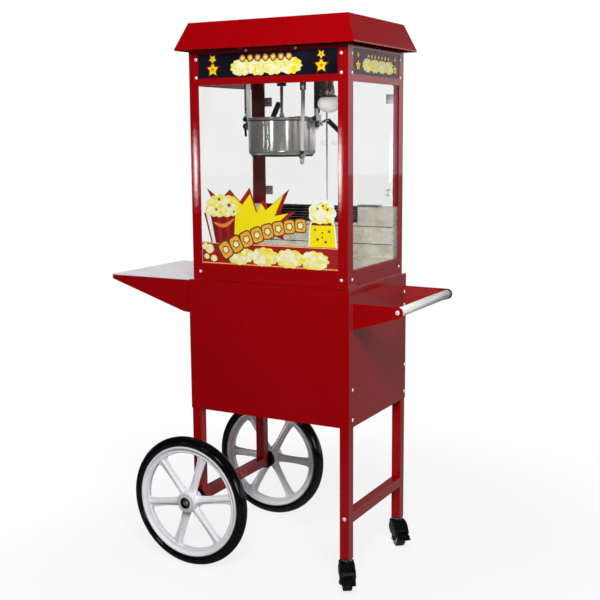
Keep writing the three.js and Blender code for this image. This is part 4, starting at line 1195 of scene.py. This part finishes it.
def cart_trim():
    """Tray lip, handle collars and bolts, leg end caps and the creases in the machine's base."""
    trim = Shape("tray_steel")
    low, high = box_of("side_tray")
    for y in (low.y, high.y):
        trim.tube([(low.x + 2, y, high.z - 1.2), (high.x - 1, y, high.z - 1.2)], 1.3, 12)
    trim.tube([(low.x + 0.6, low.y, high.z - 1.4), (low.x + 0.6, high.y, high.z - 1.4)], 1.5, 12)
    trim.piece("side_tray_hem", CART, "satin_steel")
    low, high = box_of("handle_tube")
    x, z = middle_of("handle_tube").x, middle_of("handle_tube").z
    grip = Shape("handle_metal").rod((x, low.y, z), (x, high.y, z), 12.5, 56, 0.8)
    grip.piece("handle_bar", CART, "handle_metal", ["handle_tube"], 0, 50)
    ends = Shape("black_plastic")
    for y, side in ((low.y, -1), (high.y, 1)):
        ends.hoop([(12.6, -3), (14, -2.6), (14, 0), (12.6, 0.2)], (x, y - side * 0.2, z), Y * side, 48)
    ends.use("screw_head")
    ends.screw((x, box_of("handle_arm_front")[0].y, z), -Y, 6)
    ends.screw((x, box_of("handle_arm_rear")[1].y, z), Y, 6)
    ends.piece("handle_end_rings", CART, "black_plastic", (), 0.2)
    feet = Shape("black_plastic")
    for leg in ("leg_front_left", "leg_rear_left", "leg_front_right", "leg_rear_right"):
        a, b = box_of(leg)
        more = 0.3 if "right" in leg else -0.2
        feet.box((a.x - more, a.y - more, a.z - 2.4), (b.x + more, b.y + more, a.z))
    feet.piece("leg_end_caps", CART, "black_plastic", (), 0.8)
    low, high = box_of("machine_base")
    left, right = box_of("post_front_left"), box_of("post_front_right")
    start = Vector((left[1].x + 0.4, right[1].y + 0.4, 0))
    span = Vector((right[0].x - 0.4, box_of("post_rear_right")[0].y - 0.4, 0)) - start
    z0, z1 = high.z - 18, high.z
    strip = [(0.5, z0), (-0.9, z0 + 1), (-0.9, z1 - 1), (0.5, z1)]
    base = Shape("red_paint").prism(strip, (start.x, low.y, 0), X * span.x, Y)
    base.prism([(-v, z) for v, z in strip], (high.x, start.y, 0), Y * span.y, X)
    base.prism(strip, (low.x, start.y, 0), Y * span.y, X)
    base.piece("machine_base_crease", CART, "red_paint", (), 0.3)


POST_SCREW_HEIGHTS = (1448, 1399, 860)
CABINET_SCREW_HEIGHTS = (563, 480)
CABINET_TOP_SCREW = 791
LEG_SCREW = 203
HANDLE_SCREW_HEIGHTS = (746, 784)


def screws():
    """Pale domed screws on the posts, rails, panels and brackets."""
    shape = Shape("screw_head")
    low, high = box_of("post_front_right")
    left, right = box_of("post_front_left")[1].x - 6.5, low.x + 10
    front, side, far_side = low.y, high.x, box_of("post_front_left")[0].x
    deep = (high.y - 4.5, box_of("post_rear_right")[0].y + 7)
    for z in POST_SCREW_HEIGHTS:
        for x in (left, right):
            shape.screw((x, front, z), -Y, 4.3)
            shape.screw((x, -front, z), Y, 4.3)
        for y in deep:
            shape.screw((side, y, z), X, 4.3)
            shape.screw((far_side, y, z), -X, 4.3)
    top = box_of("sign_front")[1].z + 5
    for share in (0.36, 0.70):
        x = left + (right - left) * share
        shape.screw((x, front + 0.3, top), -Y, 4)
        shape.screw((x, -front - 0.3, top), Y, 4)
    shape.screw((side - 0.3, 10, top), X, 4)
    shape.screw((far_side + 0.3, 10, top), -X, 4)
    low, high = box_of("panel_right")
    far_low, far_high = box_of("panel_left")
    for z in CABINET_SCREW_HEIGHTS:
        shape.screws([(high.x, low.y + 7, z), (high.x, high.y - 7, z)], X, 5)
        shape.screws([(far_low.x, far_low.y + 7, z), (far_low.x, far_high.y - 7, z)], -X, 5)
    shape.screw((high.x, high.y - 7, CABINET_TOP_SCREW), X, 5)
    leg, front = middle_of("leg_front_right").x, box_of("leg_front_right")[0].y
    shape.screw((leg, front, LEG_SCREW), -Y, 5.5)
    shape.screw((leg, -front, LEG_SCREW), Y, 5.5)
    for end in ("front", "rear"):
        low, middle = box_of(f"handle_arm_{end}")[0], middle_of(f"handle_arm_{end}").y
        shape.screws([(low.x + 2.5, middle, z) for z in HANDLE_SCREW_HEIGHTS], X, 4.5)
    for end in ("front", "rear"):
        low, high = box_of(f"tray_bracket_{end}")
        heights = (low.z + 16, high.z - 24)
        shape.screws([(high.x - 2.5, (low.y + high.y) / 2, z) for z in heights], -X, 4.5)
    shape.piece("frame_screws", CART, "zinc_steel", (), 0, 60)


# ---------------------------------------------------------------- printed films


def star(points, outer, inner, turn=0.0):
    """A star's outline, its first point up before the star is turned."""
    corners = []
    for k in range(2 * points):
        radius = outer if k % 2 == 0 else inner
        angle = turn + math.pi / 2 + math.pi * k / points
        corners.append((radius * math.cos(angle), radius * math.sin(angle)))
    return corners


def lobes(count, radius, depth, squash=1.0, turn=0.0, steps=6):
    """A puffy outline of count round lobes."""
    corners = []
    total = count * steps
    for k in range(total):
        angle = 2 * math.pi * k / total
        r = radius * (1 - depth + depth * abs(math.cos(count * angle / 2 + turn)))
        corners.append((r * math.cos(angle), r * math.sin(angle) * squash))
    return corners


PUFF_KERNELS = 34


class Film:
    """Coloured film on a flat face: every patch is a thin plate, a little higher than the one before."""

    def __init__(self, origin, across, out):
        self.shape = Shape("print_red")
        self.origin, self.across, self.out = Vector(origin), across, out
        self.height = 0.10

    def patch(self, colour, outline, step=0.0016, u=0.0, v=0.0):
        self.height += step
        start = self.origin + self.across * u + Z * v + self.out * (self.height - step)
        self.shape.use("print_" + colour).prism(outline, start, self.out * step, self.across)

    def puff(self, u, v, width, height, seed):
        """A heap of popped corn: a scalloped cloud, strewn with small lobed kernels by a seeded draw."""
        draw = random.Random(seed)
        self.patch("corn", lobes(11, width / 2, 0.16, height / width, 0.4), 0.02, u, v)
        for _ in range(PUFF_KERNELS):
            angle = draw.uniform(0, 2 * math.pi)
            reach = math.sqrt(draw.uniform(0, 1)) * 0.8
            x = u + reach * width / 2 * math.cos(angle)
            z = v + reach * height / 2 * math.sin(angle)
            colour = draw.choice(("cream", "cream", "pale", "pale", "corn", "yellow"))
            size = draw.uniform(0.07, 0.13) * height * 1.5
            kernel = lobes(draw.choice((4, 5)), size, 0.35, 0.85, draw.uniform(0, 3), 4)
            self.patch(colour, kernel, u=x, v=z)

    def badge(self, u, v, size, turn=0.0):
        """A yellow star with a dark red border."""
        for colour, outer, inner in (("dark_red", 1, 0.52), ("yellow", 0.74, 0.37), ("orange", 0.3, 0.15)):
            self.patch(colour, star(5, size * outer, size * inner, turn), 0.01, u, v)

    def small_stars(self, colour, places):
        """Small sharp stars, each given by its middle and size."""
        for u, v, size in places:
            self.patch(colour, star(5, size, size * 0.42, u), 0.01, u, v)

    def tile(self, u, v, width, height, lean):
        """A rounded upright tile that leans by an angle, with a border and a plain inlay."""
        for colour, share, step in (("brown", 1.0, 0.02), ("gold", 0.84, 0.012)):
            outline = []
            for k in range(32):
                angle = 2 * math.pi * k / 32
                c, d = math.cos(angle), math.sin(angle)
                x = width / 2 * share * math.copysign(abs(c) ** 0.45, c)
                z = height / 2 * share * math.copysign(abs(d) ** 0.45, d)
                leaned = (x * math.cos(lean) - z * math.sin(lean), x * math.sin(lean) + z * math.cos(lean))
                outline.append(leaned)
            self.patch(colour, outline, step, u, v)
        self.patch("brown", lobes(5, width * 0.31, 0.3, 1.0, lean), 0.012, u, v)
        self.patch("pale", lobes(5, width * 0.23, 0.3, 1.0, lean), 0.012, u, v)

    def bead(self, u, v, radius, turn):
        """A round gold bead with a brown rim and a pale middle."""
        self.patch("brown", lobes(4, radius, 0.12, 1.0, turn), 0.008, u, v)
        self.patch("gold", lobes(4, radius * 0.74, 0.16, 1.0, turn), 0.008, u, v)
        self.patch("pale", lobes(3, radius * 0.3, 0.2, 1.0, turn), 0.004, u, v)


def ribbon(points, width, narrow=1.0):
    """The outline of a curved band along points."""
    upper, lower = [], []
    for i, point in enumerate(points):
        a, b = points[max(i - 1, 0)], points[min(i + 1, len(points) - 1)]
        length = math.hypot(b[0] - a[0], b[1] - a[1])
        normal = (-(b[1] - a[1]) / length, (b[0] - a[0]) / length)
        half = width / 2 * (narrow + (1 - narrow) * math.sin(math.pi * i / (len(points) - 1)))
        upper.append((point[0] + normal[0] * half, point[1] + normal[1] * half))
        lower.append((point[0] - normal[0] * half, point[1] - normal[1] * half))
    return upper + lower[::-1]


def between(a, b, share):
    """The point that lies this share of the way from a to b."""
    return (a[0] + (b[0] - a[0]) * share, a[1] + (b[1] - a[1]) * share)


FILM_LEFT, FILM_RIGHT = -147.2, 282.2
BAND_LOW, BAND_HIGH = 886, 942
STRIPES = ((884.6, 888.4), (941, 945.4))
BURST_MIDDLE = (20, 1010)


def front_print():
    """The film on the front pane: corn in a striped tub, a burst, a row of tiles and a band of heaps."""
    film = Film((0, box_of("glass_front")[0].y, 0), X, -Y)
    film.patch("red", rectangle(FILM_LEFT, FILM_RIGHT, BAND_LOW, BAND_HIGH), 0.01)
    for z0, z1 in STRIPES:
        film.patch("orange", rectangle(FILM_LEFT, FILM_RIGHT, z0, z1), 0.01)
        film.patch("pale", rectangle(FILM_LEFT, FILM_RIGHT, z0 + 1.2, z0 + 2), 0.01)
    burst = [(-128, 1096), (-84, 1066), (-52, 1094), (-20, 1062), (12, 1101), (34, 1036), (54, 1070)]
    burst += [(70, 1046), (137, 1099), (104, 1028), (155, 1038), (110, 1000), (118, 960), (80, 972)]
    burst += [(40, 955), (-60, 960)]
    x0, z0 = BURST_MIDDLE
    film.patch("red", burst, 0.02)
    film.patch("yellow", [(x0 + (x - x0) * 0.83, z0 + (z - z0) * 0.80) for x, z in burst], 0.02)
    tub = [(-139, 1027), (-36, 1022), (-42, 940), (-116, 944)]
    film.patch("dark_red", tub, 0.02)
    for k, colour in enumerate(("white", "red", "red")):
        a, b = 0.06 + k * 0.32, 0.20 + k * 0.32
        upper = [between(tub[0], tub[1], share) for share in (a, b)]
        lower = [between(tub[3], tub[2], share) for share in (b, a)]
        film.patch(colour, upper + lower, 0.01)
    smile = [(-106 + 66 * t, 1001 - 14 * math.sin(math.pi * t) + 12 * t) for t in (k / 12 for k in range(13))]
    film.patch("orange", ribbon(smile, 11, 0.35), 0.01)
    film.puff(-78, 1048, 112, 66, 11)
    film.puff(-100, 1036, 74, 40, 12)
    film.puff(-52, 1038, 62, 38, 13)
    film.small_stars("dark_red", ((-88, 1066, 7), (-55, 1050, 8.5), (-98, 1037, 6), (-40, 1032, 5)))
    for k, u in enumerate((-22, 56, 134, 211)):
        film.puff(u, 912 - 0.02 * u, 92, 54, 20 + k)
    for k, (u, v, size) in enumerate(((-122, 926, 30), (-132, 904, 18), (-108, 900, 22), (-136, 932, 22))):
        film.puff(u, v, size, size * 0.9, 31 + k)
    for k in range(8):
        t = (k + 0.35) / 7.7
        u, v = -80 + 262 * t, 918 + 84 * math.sin(1.45 * t) ** 0.9
        film.tile(u, v, 40 - 0.4 * k, 52 - 1.8 * k, 0.62 * (1 - t))
    bag = [(197, 945), (276, 946), (270, 1006), (262, 1014), (207, 1012), (201, 1004)]
    grown = [(236 + (x - 236) * 1.1, 978 + (z - 978) * 1.05 - 1) for x, z in bag]
    film.patch("white", [(x, max(z, 945.6)) for x, z in grown], 0.02)
    film.patch("white", lobes(9, 42, 0.1, 0.92), 0.02, 236, 1036)
    film.patch("yellow", bag, 0.02)
    film.patch("dark_red", [(203, 1003), (264, 1004), (262, 1011), (205, 1010)], 0.01)
    film.puff(236, 1036, 74, 60, 41)
    spots = ((214, 992, 5), (256, 988, 6), (222, 966, 6), (246, 960, 6), (236, 984, 4), (236, 972, 4))
    film.small_stars("dark_red", spots)
    film.small_stars("brown", ((222, 1048, 5), (252, 1046, 6), (238, 1056, 5)))
    film.shape.piece("front_print", CART, "clear_pane", (), 0, 30)


def sign_prints():
    """The film on each sign: a row of corn heaps under a string of beads, with two stars at each end."""
    for number, (name, across, out) in enumerate((("front", X, -Y), ("right", Y, X), ("left", -Y, -X))):
        low, high = box_of(f"sign_{name}")
        is_front = name == "front"
        middle = ((low + high) / 2).dot(across)
        span = abs((high - low).dot(across))
        face = out * max(low.dot(out), high.dot(out))
        film = Film(face, across, out)
        size = 1.0 if is_front else 0.82
        z = (low.z + high.z) / 2
        pitch = span * (0.118 if is_front else 0.155)
        shift = 0 if is_front else span * 0.03
        for k in range(4):
            u = middle + shift + (k - 1.5) * pitch
            film.puff(u, z - 7, pitch * 1.42, 46 * size, 50 + 10 * number + k)
        for k in range(7):
            film.bead(middle + shift + (k - 3) * pitch * 0.47, z + 17, 11 * size, 0.9 * k)
        for side in (-1, 1):
            u = middle + side * span * (0.39 if is_front else 0.40)
            film.badge(u, z - 10, 25 * size)
            film.badge(u, z + 18, 16 * size, 0.6)
        film.shape.piece(f"sign_{name}_print", CART, "sign_black", (), 0, 30)


wheel("front", -1, FRONT_WHEEL_ROLL)
wheel("rear", 1, 0.0)
axle()
for end, side in ENDS:
    tyre(end, side)
    caster(end)
    kettle_lid(end, side)
kettle()
stirring()
hose()
hangers()
lamp()
case_doors()
cabinet_door()
controls()
cart_trim()
screws()
front_print()
sign_prints()

dress_cad_nodes()
make_camera()
make_world()
make_lights()
make_floor()

bpy.context.scene.view_settings.view_transform = "Standard"
